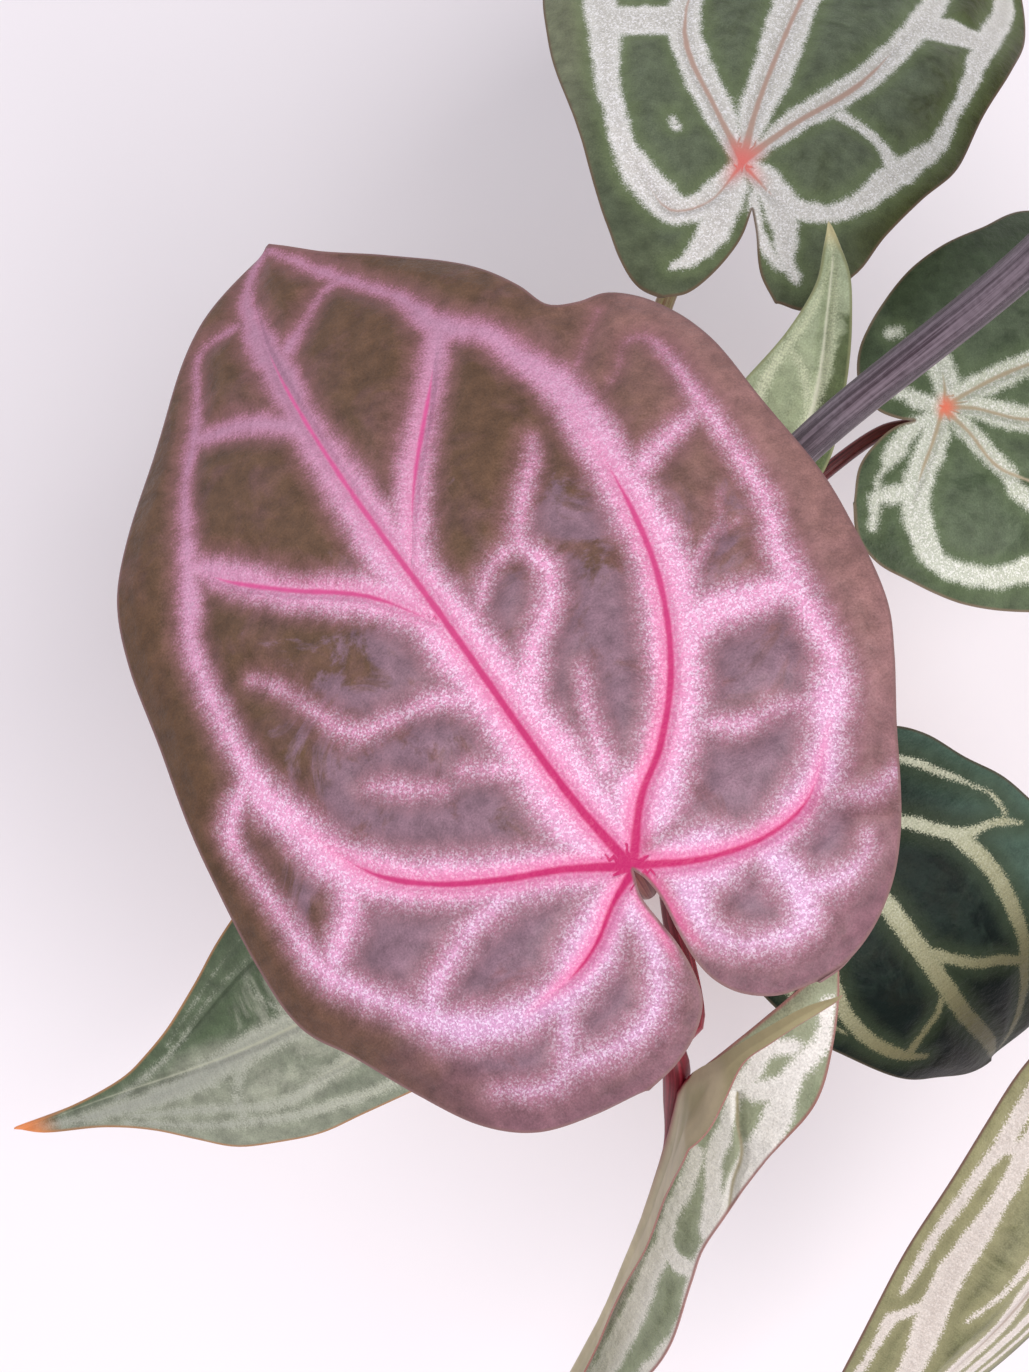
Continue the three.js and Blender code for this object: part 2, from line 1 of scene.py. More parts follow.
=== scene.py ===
"""Potted anthurium hybrid: velvet heart leaves with pink and silver veins, in a clay pot.

Laid out as an add-on: settings, one operator for each group of like pieces, a panel and a main
function that makes everything in order. Leaves are drawn on a flat sheet in millimetres and bent
into place; everything else is in metres, +Z up, with the origin in the middle of the pot's base.
"""
import itertools
import math
from functools import partial
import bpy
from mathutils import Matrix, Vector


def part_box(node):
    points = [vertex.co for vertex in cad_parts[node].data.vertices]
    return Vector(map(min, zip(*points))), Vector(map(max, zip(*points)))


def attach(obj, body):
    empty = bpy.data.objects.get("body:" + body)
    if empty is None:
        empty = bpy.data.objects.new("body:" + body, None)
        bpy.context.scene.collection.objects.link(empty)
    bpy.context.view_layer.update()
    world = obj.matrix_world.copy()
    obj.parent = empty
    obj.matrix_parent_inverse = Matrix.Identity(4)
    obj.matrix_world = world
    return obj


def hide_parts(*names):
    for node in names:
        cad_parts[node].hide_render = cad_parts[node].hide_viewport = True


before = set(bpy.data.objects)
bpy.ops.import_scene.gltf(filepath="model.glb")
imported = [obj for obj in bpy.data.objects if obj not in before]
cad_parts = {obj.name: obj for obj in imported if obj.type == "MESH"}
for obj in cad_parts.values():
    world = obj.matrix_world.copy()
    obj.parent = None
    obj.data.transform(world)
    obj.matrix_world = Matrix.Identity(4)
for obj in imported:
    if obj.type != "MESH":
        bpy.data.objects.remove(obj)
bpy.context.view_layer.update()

from types import SimpleNamespace

import bpy
import numpy as np

bl_info = {
    "name": "Potted Anthurium",
    "version": (1, 0, 0),
    "blender": (4, 5, 0),
    "location": "3D View > Sidebar > Plant",
    "description": "Builds the leaves, petioles, stem, potting mix and pot of a potted anthurium hybrid",
    "category": "Object",
}

MM = 0.001
BODY = "root"

# The photograph's view
PHOTO_HEIGHT = 1372
PHOTO_FOCAL = 2000
CAMERA_PLACE = (-0.0256, -0.1291, 0.6888)
CAMERA_TILT = 12

# Leaves
# joint is the place of the petiole's joint in mm. Angles are in degrees, and fold and camber have one for
# each half of the blade. half is the half width over which a half takes its camber, wave the height in
# mm and the count of the margin's waves, and rows, columns and split_rows size the blade's grid.
# Sheet coordinates are (x across, y along) in mm from the petiole joint. Each vein is a list of
# (x, y, half width) points. bands are the broad pale veins, and cores the thin lines inside them.

BRONZE = {
    "joint": (-2.1, -81.5, 290), "heading": 122, "pitch": -5, "roll": 8, "length": 176, "curl": 34,
    "fold": (-2, -2), "camber": (22, 16), "half": 75, "wave": (1.2, 5), "quilt": 1.6,
    "rows": 230, "columns": 84, "split_rows": 24,
    "midrib": [
        (0, -0.5), (-2, 14), (-4, 40), (-6, 65), (-9, 100), (-10, 125), (-9, 145), (-5, 165), (3, 176),
    ],
    "left": [
        (3, 176), (-6, 172), (-17, 166), (-29, 157), (-44, 142), (-58, 127), (-68, 115), (-73, 101),
        (-76, 77), (-80, 51), (-82, 26), (-80, 8), (-73, -3), (-65, -17), (-56, -29), (-46, -36),
        (-34, -39), (-21, -40),
    ],
    "left_notch": [
        (0, -0.5), (-1.5, -5.5), (-1, -12), (-0.3, -18), (-0.7, -25), (-2.2, -30), (-6.5, -34.5),
        (-13, -38), (-21, -40),
    ],
    "right": [
        (3, 176), (13, 165), (25, 156), (36, 146), (42, 138), (47, 128), (50, 120), (56, 118), (63, 118),
        (69, 114), (74, 106), (77, 95), (78, 75), (80, 53), (79, 40), (75, 19), (70, 9), (62, -4),
        (56, -14), (50, -23), (43, -31), (35, -36.5), (27, -39), (19, -39),
    ],
    "right_notch": [
        (0, -0.5), (1.2, -3.5), (1.7, -8.5), (1.1, -15), (0.9, -22), (2, -27.5), (5, -32.5), (11, -37),
        (19, -39),
    ],
    "bands": {
        "midrib": [
            (0, 0, 2), (-2, 8, 8), (-3, 19, 8.5), (-4, 39, 7.3), (-6, 60, 7), (-8, 80, 6.3),
            (-9, 101, 5.1), (-10, 124, 3.7), (-9, 137, 4), (-9, 149, 3.6), (-7, 164, 1.8), (0, 173, 1.2),
            (3, 175, 0.7),
        ],
        "right inner": [
            (9, 10, 8), (17, 15, 6), (26, 24, 5.7), (31, 33, 6.1), (39, 51, 6.2), (41, 71, 5.2),
            (42, 93, 4.9), (41, 102, 4.2), (38, 110, 3.5), (34, 121, 3.1), (27, 127, 3.7), (23, 140, 2),
            (17, 150, 1.6), (11, 159, 1.6), (3, 174, 0.7),
        ],
        "right outer": [
            (4, -1, 3), (13, -6, 7), (20, -8, 4.4), (27, -10, 4.4), (37, -6, 4), (44, -3, 4.4),
            (48, 2, 3.8), (53, 8, 4.9), (58, 15, 3.3), (60, 33, 3.7), (62, 43, 2.9), (65, 51, 2.3),
            (66, 62, 2.3), (66, 85, 1.7), (66, 96, 1), (64, 102, 0.2), (60, 103, -0.6), (54, 96, -1.2),
            (48, 92, -0.8), (46, 89, 0.2),
        ],
        "right branch high": [(40, 69, 2.9), (51, 74, 2.5), (60, 77, 1.9), (65, 79, 1.6)],
        "right branch middle": [(33, 37, 5.7), (43, 36, 4.9), (54, 34, 4.1), (60, 33, 3.4)],
        "right branch low": [(16, 15, 2.8), (27, 17, 2), (34, 13, 1.8), (43, 12, 1), (51, 8, 1.2)],
        "right streak": [(43, 47, 1.5), (49, 50, 0), (54, 53, -0.7), (58, 59, -1.3)],
        "right fork": [(51, 51, -0.4), (57, 51, -1.1)],
        "right lobe": [
            (24, -10, 3.6), (26, -19, 4), (24, -27, 3.6), (20, -28, 2.8), (10, -24, 2.4), (6, -17, 3.2),
            (8, -9, 5),
        ],
        "right lobe tongue": [(27, -22, 3), (34, -24, 2.6), (41, -23, 1.2), (44, -20, 0.5)],
        "right lobe fleck": [(41, -9, 0.6), (51, -13, 1), (56, -12, 0.3)],
        "left basal": [
            (-5, 2, 4), (-14, 8, 5), (-24, 12, 5.3), (-42, 23, 5.3), (-49, 29, 5.8), (-53, 35, 5.2),
            (-56, 46, 4.6), (-59, 54, 4.4), (-59, 65, 2.8), (-58, 86, 2.6), (-56, 96, 2.6),
            (-51, 104, 3.1), (-45, 117, 2), (-39, 130, 1.3), (-33, 138, 2), (-28, 147, 0.9),
            (-23, 157, 0.7), (-9, 158, 0.9),
        ],
        "left top": [(-11, 122, 3), (-21, 131, 2.7), (-33, 137, 2)],
        "left middle": [(-7, 65, 4.1), (-15, 76, 5), (-30, 88, 3.6), (-40, 100, 3.7), (-48, 110, 2.6)],
        "left low": [
            (-5, 42, 2.9), (-15, 50, 2.3), (-24, 52, 1.2), (-34, 54, 1.7), (-38, 60, 1.3), (-41, 67, 0.6),
            (-44, 73, 0.8), (-48, 78, 0.4),
        ],
        "left fleck": [(-38, 43, 0.4), (-36, 42, 1), (-29, 37, 1.2), (-24, 34, 0.5)],
        "left fan": [(-19, 35, 0.8), (-12, 31, 2), (-6, 26, 3.5)],
        "left lobe": [
            (-6, -3, 5), (-17, -10, 6), (-25, -14, 4.8), (-40, -13, 4.3), (-50, -8, 4.5), (-57, 1, 2.7),
            (-63, 8, 2.9), (-68, 17, 3.3), (-70, 33, 1.7), (-71, 51, 1.9), (-69, 55, 2.4), (-60, 60, 2.4),
        ],
        "left lobe inner": [(-27, 8, 2.8), (-34, 7, 2.4), (-41, 4, 2.4), (-50, -1, 2.9), (-51, -6, 3)],
        "left lobe outer": [(-52, 29, 3.7), (-57, 22, 3.3), (-65, 17, 3.3)],
        "left lobe loop": [
            (-48, -25, 0.8), (-39, -29, 1.4), (-32, -28, 2), (-19, -29, 2.4), (-12, -27, 2.6),
            (-7, -21, 2.8), (-4, -12, 3.2), (-5, -5, 4),
        ],
        "left lobe link": [(-33, -27, 1.6), (-30, -23, 2), (-27, -16, 2.8)],
        "tip link": [(-5, 143, 2.2), (2, 148, 0.8), (8, 153, 0.9), (14, 155, 1.1)],
        "centre rung": [(-7, 79, 5.6), (1, 91, 4.2), (6, 99, 3.8), (18, 115, 3), (27, 128, 3.5)],
        "centre tree": [
            (-2, 38, 4.5), (7, 49, 2.9), (15, 56, 2.5), (18, 63, 2.3), (16, 70, 2.1), (20, 77, 1.7),
            (27, 85, 1.5), (30, 90, 0.5),
        ],
        "centre twig": [(17, 70, 1.4), (9, 69, 1.2), (4, 65, 1.2), (1, 61, 0.6)],
        "centre spur": [(13, 40, 0.4), (10, 34, 1.2), (8, 27, 1.6), (6, 20, 3)],
        "hump twig": [(43, 99, 1), (47, 102, -0.5), (52, 107, -1.1), (59, 114, -1)],
    },
    "cores": {
        "midrib": [
            (0, 0, 1), (-3, 19, 0.75), (-6, 65, 0.6), (-9, 105, 0.4), (-9, 143, -0.1), (-5, 166, -2),
        ],
        "right inner": [
            (1, 1, 0.95), (9, 11, 0.7), (18, 18, 0.65), (28, 30, 0.6), (36, 47, 0.55), (40, 67, 0.4),
            (41, 97, -2),
        ],
        "right outer": [(2, -0.6, 0.8), (13, -6, 0.55), (27, -9, 0.4), (38, -7, 0.1), (50, 4, -2)],
        "left basal": [
            (-1, 1, 0.95), (-12, 7, 0.65), (-24, 12, 0.6), (-37, 19, 0.5), (-47, 28, 0.3), (-56, 46, -2),
        ],
        "left middle": [(-6, 62, -0.5), (-17, 78, 0.4), (-31, 90, 0.4), (-42, 101, 0.2), (-47, 108, -1)],
        "left lobe": [(-1, -1, 0.85), (-7, -4, 0.5), (-14, -9, 0.35), (-21, -12, 0.1), (-34, -14, -2)],
        "centre rung": [(-6, 78, -1), (3, 94, 0.2), (18, 115, 0.1), (26, 127, -2)],
        "left notch": [(-0.6, -4, 0.6), (-1.4, -13, -0.3), (-3, -24, -3)],
        "right notch": [(1.4, -3, 0.6), (2.2, -13, -0.3), (4, -24, -3)],
    },
}

REAR = {
    "joint": (31.5, 104, 225), "heading": 68, "pitch": 10, "roll": 0, "length": 178, "curl": 36,
    "fold": (0, 0), "camber": (26, 22), "half": 62, "wave": (1.5, 5), "quilt": 1.6,
    "rows": 200, "columns": 76, "split_rows": 18,
    "midrib": [(7, -12), (4, -5), (0, 0), (0, 60), (0, 120), (0, 178)],
    "left": [
        (0, 178), (-18, 164), (-42, 138), (-62, 106), (-73, 76), (-74, 52), (-64, 29), (-49, 5),
        (-40, -8), (-32, -19), (-26, -28), (-19, -37), (-12, -42), (-5, -43),
    ],
    "left_notch": [(7, -12), (7.2, -21), (4, -33), (0, -40), (-5, -43)],
    "right": [
        (0, 178), (16, 164), (36, 142), (52, 118), (58, 100), (57, 74), (54, 53), (52, 29), (46, 12),
        (40, -5), (37, -18), (30, -31), (21, -34),
    ],
    "right_notch": [(7, -12), (10, -17.5), (15, -28), (21, -34)],
    "bands": {
        "midrib": [
            (0, 1, 1.5), (-2, 17, 4.2), (-2, 29, 5), (-3, 43, 5.5), (-4, 59, 5.6), (-3, 100, 4.8),
            (-1, 140, 3), (0, 174, 1),
        ],
        "left inner": [
            (-1, 1, 1.8), (-11, 13, 4), (-20, 24, 4.2), (-29, 39, 4.2), (-33, 60, 4), (-34, 90, 3.4),
            (-26, 125, 2.6), (-12, 155, 1.5), (0, 174, 0.8),
        ],
        "left cross": [(-50, 38, 4), (-41, 38, 5.6), (-30, 41, 5)],
        "left outer": [
            (0, -2, 2.6), (-3, -11, 3.4), (-6, -17, 3.6), (-11, -19, 4), (-17, -16, 4.1), (-24, -11, 3.8),
            (-30, -5, 3), (-36, 5, 2.7), (-43, 18, 3.2), (-49, 33, 4.1), (-55, 46, 4.3), (-60, 70, 3.6),
            (-54, 100, 3), (-38, 132, 2.2), (-14, 162, 1.4),
        ],
        "left lobe": [(0, -8, 4.3), (0, -17, 4.3), (0, -23, 3.7), (-2, -30, 2.1), (-6, -35, 0.6)],
        "left spot": [(-21, 7, 0.8), (-19, 4, 0.9)],
        "left rungs": [(-2, 78, 2), (-18, 88, 2.2), (-33, 88, 2.2), (-56, 96, 1.8)],
        "left high rungs": [(-2, 108, 2), (-16, 118, 2), (-30, 120, 1.8), (-46, 124, 1.4)],
        "right inner": [
            (1, 2, 1.8), (8, 17, 3.3), (14, 28, 3.5), (20, 40, 3.4), (26, 59, 3.3), (30, 82, 3.5),
            (28, 115, 2.6), (16, 145, 1.8), (2, 172, 0.8),
        ],
        "right link high": [(31, 71, 4), (38, 76, 5.4), (46, 79, 4.6)],
        "right link": [(18, 26, 1.6), (24, 25, 1.4), (31, 23, 1.5), (36, 18, 2.6)],
        "right outer": [
            (2, 0, 2.5), (8, -3, 4.1), (15, -7, 3.3), (24, -5, 2.5), (31, 2, 2.5), (36, 13, 3.5),
            (41, 24, 3), (45, 35, 2.2), (46, 47, 1.6), (47, 58, 2.1), (47, 70, 2.9), (48, 84, 3.4),
            (49, 107, 3.2), (38, 132, 2.4), (18, 158, 1.4),
        ],
        "right high rungs": [(-1, 112, 1.8), (12, 124, 1.8), (26, 122, 1.6)],
        "right lobe": [(8, -4, 3.2), (14, -10, 3.8), (17, -15, 3.2), (19, -21, 2.4), (24, -26, 1)],
        "right lobe fork": [(6, -8, 1.5), (10, -16, 1.3), (14, -21, 1.6), (19, -24, 1.6)],
    },
    "cores": {
        "midrib": [(0, 0.5, 1.1), (-2, 17, 0.6), (-3, 43, 0.5), (-3, 90, 0.4), (-1, 170, -2)],
        "left inner": [(0, 1, 1), (-11, 13, 0.55), (-28, 37, 0.5), (-34, 90, -2)],
        "right inner": [(0, 1, 1), (8, 17, 0.6), (20, 40, 0.55), (30, 82, -2)],
        "left outer": [(0, -1, 0.4), (-4, -14, 0.15), (-12, -19, 0.2), (-26, -8, -1)],
        "right outer": [(2, -1, 0.4), (9, -5, 0.1), (15, -8, -1)],
        "right lobe": [(2, -1, 0.3), (8, -5, -0.2), (17, -14, -2)],
    },
}

RIGHT = {
    "joint": (84.4, 46.7, 205), "heading": 8, "pitch": 8, "roll": 0, "length": 135, "curl": 34,
    "fold": (0, 0), "camber": (20, 20), "half": 55, "wave": (1.2, 4),
    "rows": 170, "columns": 62, "split_rows": 16,
    "midrib": [(3, -9), (0, 0), (0, 50), (0, 100), (0, 135)],
    "left": [
        (0, 135), (-14, 122), (-36, 98), (-52, 72), (-61, 44), (-53, 24), (-47, 10), (-40, -1),
        (-30, -11), (-19, -19), (-12, -21), (-7, -21),
    ],
    "left_notch": [(3, -9), (2, -13), (-1, -18), (-7, -21)],
    "right": [
        (0, 135), (13, 122), (33, 98), (48, 72), (56, 46), (55, 20), (52, 2), (48, -10), (43, -18),
        (38, -24), (31, -28), (22, -28),
    ],
    "right_notch": [(3, -9), (4, -14), (7, -19), (13, -25), (22, -28)],
    "bands": {
        "midrib": [
            (0, 0, 1.6), (1, 8, 3.2), (3, 14, 3.5), (5, 22, 3.2), (4, 60, 3), (2, 100, 2), (0, 130, 0.8),
        ],
        "left inner": [
            (0, 0, 1.6), (-3, 6, 3.2), (-6, 14, 3.3), (-10, 25, 3), (-18, 50, 2.8), (-20, 80, 2.2),
            (-1, 128, 0.7),
        ],
        "left outer": [(0, 0, 1.6), (-6, 1, 3.4), (-12, 1, 3.4), (-16, 2, 1.4)],
        "left high": [(-30, 22, 0.6), (-40, 36, 1.8), (-42, 62, 1.8), (-32, 92, 1.4), (-12, 120, 0.9)],
        "left lobe": [(0, -1, 1.6), (-2, -7, 2.4), (-4, -10, 1.9), (-5, -13, 1.4)],
        "left spot": [(-22, -10, 1.4), (-22, -8, 1.2)],
        "right inner": [
            (1, 0, 1.6), (6, 4, 2.7), (12, 8, 2.6), (18, 13, 2.3), (26, 18, 2.3), (33, 36, 2.2),
            (32, 66, 1.8), (4, 124, 0.8),
        ],
        "right outer": [
            (2, -1, 1.8), (9, -5, 3.6), (16, -9, 3.6), (22, -12, 3.8), (31, -12, 3.5), (39, -9, 3),
            (43, -2, 2.6), (45, 8, 2.4), (44, 18, 3.4), (47, 44, 2.4), (40, 74, 2), (24, 104, 1.4),
            (6, 126, 0.8),
        ],
        "right lobe": [(2, -2, 1.6), (4, -8, 2), (7, -12, 2), (11, -16, 2.3), (14, -18, 1)],
        "right lobe low": [(21, -13, 2.3), (22, -18, 2.1), (22, -22, 1.9), (25, -23, 1), (29, -24, 0.7)],
        "right lobe thin": [(14, -18, 0.5), (17, -21, 0.6), (21, -22, 1)],
        "right cross": [(26, 19, 1.4), (36, 22, 1.4), (44, 20, 1.6)],
        "left cross": [(-10, 28, 1.2), (-22, 34, 1.4), (-38, 42, 1.4)],
    },
    "cores": {
        "midrib": [(0, 0, 0.7), (1, 8, 0.4), (5, 22, 0.35), (2, 100, -1)],
        "left inner": [(0, 0, 0.7), (-3, 6, 0.45), (-10, 25, 0.4), (-20, 80, -1)],
        "left outer": [(-1, 0, 0.4), (-6, 1, 0.2), (-14, 1, -1)],
        "right inner": [(1, 0, 0.7), (7, 5, 0.4), (18, 13, 0.35), (32, 66, -1)],
        "right outer": [(1, -1, 0.5), (9, -5, 0.35), (16, -9, 0.2), (24, -13, -1)],
    },
}

REAR_SMALL = {
    "joint": (32.5, 27, 224), "heading": 71, "pitch": -27, "roll": 0, "length": 58, "curl": 8,
    "fold": (14, 14), "camber": (20, 20), "half": 30, "wave": (0.4, 3),
    "rows": 64, "columns": 18, "split_rows": 12,
    "midrib": [(0, -2), (1, 2), (4, 12), (6, 24), (6, 34), (5, 43), (2, 52), (-1, 58)],
    "left": [
        (-1, 58), (0, 52), (1, 44), (-2, 31), (-8, 17), (-13, 6), (-15, -4), (-13, -11), (-8, -13),
        (-4, -11),
    ],
    "left_notch": [(0, -2), (-1, -6), (-4, -11)],
    "right": [
        (-1, 58), (3, 54), (8, 48), (12, 38), (15, 27), (17, 16), (18, 6), (16, -4), (12, -10), (6, -11),
    ],
    "right_notch": [(0, -2), (2, -6), (6, -11)],
    "bands": {
        "midrib": [(9, -2, 1.2), (10, 12, 1.4), (9, 30, 1), (4, 48, 0.5), (-1, 57, 0.2)],
        "left": [(0, -2, 1.4), (-3, 8, 1.2), (-3, 20, 1.2), (2, 36, 0.6), (3, 50, 0.2)],
        "rung": [(9, 16, 0.8), (4, 24, 0.7), (-2, 28, 0.5)],
    },
    "cores": {"midrib": [(9, -2, 0.5), (10, 16, 0.3), (3, 50, 0.1)]},
}

LEFT = {
    "joint": (-36.5, -85.5, 195), "heading": 203, "pitch": 8, "roll": 0, "length": 140, "curl": 24,
    "fold": (-12, 10), "camber": (50, 25), "half": 50, "wave": (0.8, 4),
    "rows": 110, "columns": 34, "split_rows": 18,
    "midrib": [(0, -5), (0, 0), (-2, 30), (-4, 70), (-4, 100), (0, 125), (3, 140)],
    "left": [
        (3, 140), (-1, 132), (-7, 112), (-13, 100), (-20, 91), (-27, 82), (-31, 71), (-34, 60), (-34, 48),
        (-34, 34), (-34, 20), (-32, 4), (-27, -10), (-19, -18), (-11, -20),
    ],
    "left_notch": [(0, -5), (-2, -11), (-5, -16), (-11, -20)],
    "right": [
        (3, 140), (2, 124), (2, 110), (3, 99), (5, 92), (9, 82), (16, 71), (23, 62), (28, 54), (34, 42),
        (40, 28), (43, 12), (41, -4), (35, -16), (26, -23), (17, -25), (11, -22),
    ],
    "right_notch": [(0, -5), (2, -11), (5, -17), (11, -22)],
    "bands": {
        "midrib": [
            (0, 0, 1.4), (-3, 30, 3), (-4, 61, 3.4), (-6, 81, 3), (-5, 100, 2), (-2, 120, 1),
            (2, 136, 0.3),
        ],
        "left inner": [
            (-2, 0, 1.2), (-13, 20, 1.8), (-18, 44, 1.8), (-21, 64, 1.3), (-15, 80, 1), (-7, 104, 0.5),
        ],
        "left outer": [
            (-2, -4, 1.4), (-12, -10, 1.5), (-24, 0, 1.6), (-28, 24, 1.6), (-28, 50, 1.4), (-20, 80, 1),
            (-8, 106, 0.5),
        ],
        "right inner": [
            (1, 1, 1), (12, 16, 0), (18, 40, -0.8), (14, 62, -0.8), (3, 84, 0), (-2, 104, 0.4),
        ],
        "right outer": [
            (2, -4, 1), (14, -12, 1), (28, -6, 0.6), (35, 12, -0.4), (30, 38, -1), (19, 60, -1),
            (5, 84, -0.4),
        ],
        "left rung": [(-4, 62, 1), (-12, 72, 1), (-21, 76, 0.8)],
        "right rung": [(-3, 46, 1), (6, 56, 0), (15, 58, -0.6)],
    },
    "cores": {
        "midrib": [(0, 0, 1), (-4, 61, 0.2), (0, 110, -0.1), (2, 138, -0.4)],
        "left inner": [(-2, 0, 0.8), (-18, 44, 0), (-15, 80, -1)],
        "right inner": [(1, 1, 0.8), (18, 40, 0), (3, 84, -1)],
    },
}

DARK = {
    "joint": (56, -65.8, 205), "heading": -52, "pitch": 2, "roll": -6, "length": 98, "curl": 80,
    "fold": (0, 0), "camber": (8, 24), "half": 50, "wave": (0.8, 4),
    "rows": 140, "columns": 56, "split_rows": 16,
    "midrib": [(0, -4), (0, 0), (2, 30), (2, 60), (0, 98)],
    "left": [
        (0, 98), (-8, 93), (-20, 83), (-33, 68), (-42, 48), (-44, 30), (-42, 19), (-40, 10), (-36, 1),
        (-32, -10), (-26, -17), (-18, -19), (-10, -16),
    ],
    "left_notch": [(0, -4), (-2, -8), (-5, -13), (-10, -16)],
    "right": [
        (0, 98), (9, 90), (18, 76), (26, 61), (32, 48), (37, 35), (39, 24), (40, 10), (37, -4), (31, -14),
        (22, -19), (13, -18), (8, -15),
    ],
    "right_notch": [(0, -4), (2, -8), (4, -12), (8, -15)],
    "bands": {
        "midrib": [
            (0, 0, 1.6), (2, 10, 2.2), (2, 17, 2.4), (2, 32, 2.3), (2, 56, 2.1), (0, 75, 1.9),
            (0, 94, 0.8),
        ],
        "left outer": [
            (-18, -14, 0.6), (-23, -9, 0.7), (-26, -5, 1), (-28, -1, 1), (-31, 4, 0.5), (-33, 8, 0.3),
            (-35, 12, 0.5), (-35, 18, 0.5),
        ],
        "upper": [
            (-1, -1, 1), (-13, 3, 1.5), (-21, 13, 1.6), (-25, 16, 1.5), (-29, 17, 1), (-33, 19, 1),
            (-37, 23, 0.4),
        ],
        "left inner": [
            (-21, 13, 1.2), (-23, 19, 2), (-24, 27, 2), (-23, 39, 1.9), (-21, 49, 1.6), (-18, 57, 1.5),
            (-12, 72, 1.2), (-2, 90, 0.6),
        ],
        "left rung": [(-18, 56, 1.3), (-13, 50, 1.5), (-7, 45, 1.4), (0, 35, 1.4)],
        "right inner": [
            (1, -1, 1.2), (14, 8, 1.5), (22, 20, 1.6), (26, 34, 1.7), (25, 46, 1.8), (21, 56, 1.6),
            (16, 62, 0.8),
        ],
        "right link": [(4, 47, 0.8), (8, 51, 0.9), (12, 53, 0.9), (19, 57, 1.2)],
        "right outer": [
            (2, -4, 0.8), (16, -9, 0.9), (28, -6, 0.9), (34, 10, 0.9), (33, 28, 0.6), (29, 40, 0.3),
        ],
    },
    "cores": {"midrib": [(0, 0, 0.7), (2, 8, -1)]},
}

FOLDED = {
    "joint": (13, -122.7, 240), "heading": -108, "pitch": 44, "roll": 45, "length": 172, "curl": 8,
    "twist": -20, "fold": (80, 55), "fold_lobe": (40, 110), "fold_tip": (80, 48), "camber": (8, 8),
    "half": 30, "wave": (0.6, 4), "rows": 130, "columns": 30, "split_rows": 20, "swell": 1,
    "midrib": [(0, -2), (0, 0), (-3, 18), (-6, 50), (-7.5, 90), (-6, 130), (0, 172)],
    "left": [
        (0, 172), (-7, 152), (-16, 125), (-22, 100), (-25.5, 75), (-23, 54), (-21, 42), (-21.5, 28),
        (-25, 0), (-26.7, -12), (-25.5, -23), (-24, -33), (-22, -40),
    ],
    "left_notch": [(0, -2), (-3, -9), (-7, -18), (-12, -28), (-17, -36), (-22, -40)],
    "right": [
        (0, 172), (3, 155), (4, 135), (2, 112), (-1, 92), (-1, 75), (2, 52), (8, 30), (15, 15), (20, 4),
        (20, -4), (16.5, -11), (14.5, -19), (17.5, -27), (20.5, -34.5), (24.4, -42.5),
    ],
    "right_notch": [(0, -2), (3, -7), (6.6, -13), (11, -22.5), (14.5, -29.5), (19, -37), (24.4, -42.5)],
    "bands": {
        "midrib": [(0, 0, 0.8), (-6, 50, 1), (-6, 130, 0.8), (0, 165, 0.3)],
        "upper white": [
            (-22, -31, 0.7), (-23, -24, 0.9), (-21, -19, 1.1), (-20, -15, 1.3), (-21, -8, 1.9),
            (-22, -1, 2.3), (-22, 11, 2.3), (-22, 25, 2.3), (-23, 40, 1.8), (-23, 49, 1.4),
            (-24, 57, 0.7), (-26, 65, 0.7), (-24, 85, 0.8), (-18, 115, 0.8),
        ],
        "upper inner": [
            (-18, -21, 0.8), (-13, -18, 0.8), (-12, -12, 0.9), (-11, -6, 1.1), (-12, 0, 0.9),
            (-13, 7, 1.1), (-13, 14, 1.4), (-17, 25, 1.5), (-20, 37, 1.1),
        ],
        "upper rung": [(-20, -15, 1), (-18, -11, 1.2), (-14, -8, 1.2)],
        "left streak": [
            (-9, 18, 1), (-10, 28, 1.2), (-10, 40, 1.1), (-12, 50, 1.6), (-17, 52, 1.8), (-23, 49, 1.4),
        ],
        "lower left": [
            (-12, 50, 1.5), (-12, 61, 1.9), (-13, 75, 2.2), (-13, 90, 2.4), (-12, 110, 2), (-5, 150, 0.8),
        ],
        "right inner": [(1, 2, 1), (6, 14, 1.2), (3, 34, 0.8), (-2, 60, 0.6), (-4, 90, 0.4)],
        "right outer": [(2, -4, 1), (10, -12, 1), (17, -4, 1.2), (15, 8, 1), (8, 24, 0.6)],
    },
    "cores": {
        "midrib": [(0, -2, 1.1), (-3, 18, 0.9), (-6, 50, 0.7), (-7.5, 90, 0.5), (0, 165, 0.1)],
        "brown line": [
            (-12, -5, 0.3), (-16, 2, 0.35), (-19, 7, 0.35), (-20, 17, 0.3), (-22, 27, 0.1), (-22, 34, -1),
        ],
    },
}

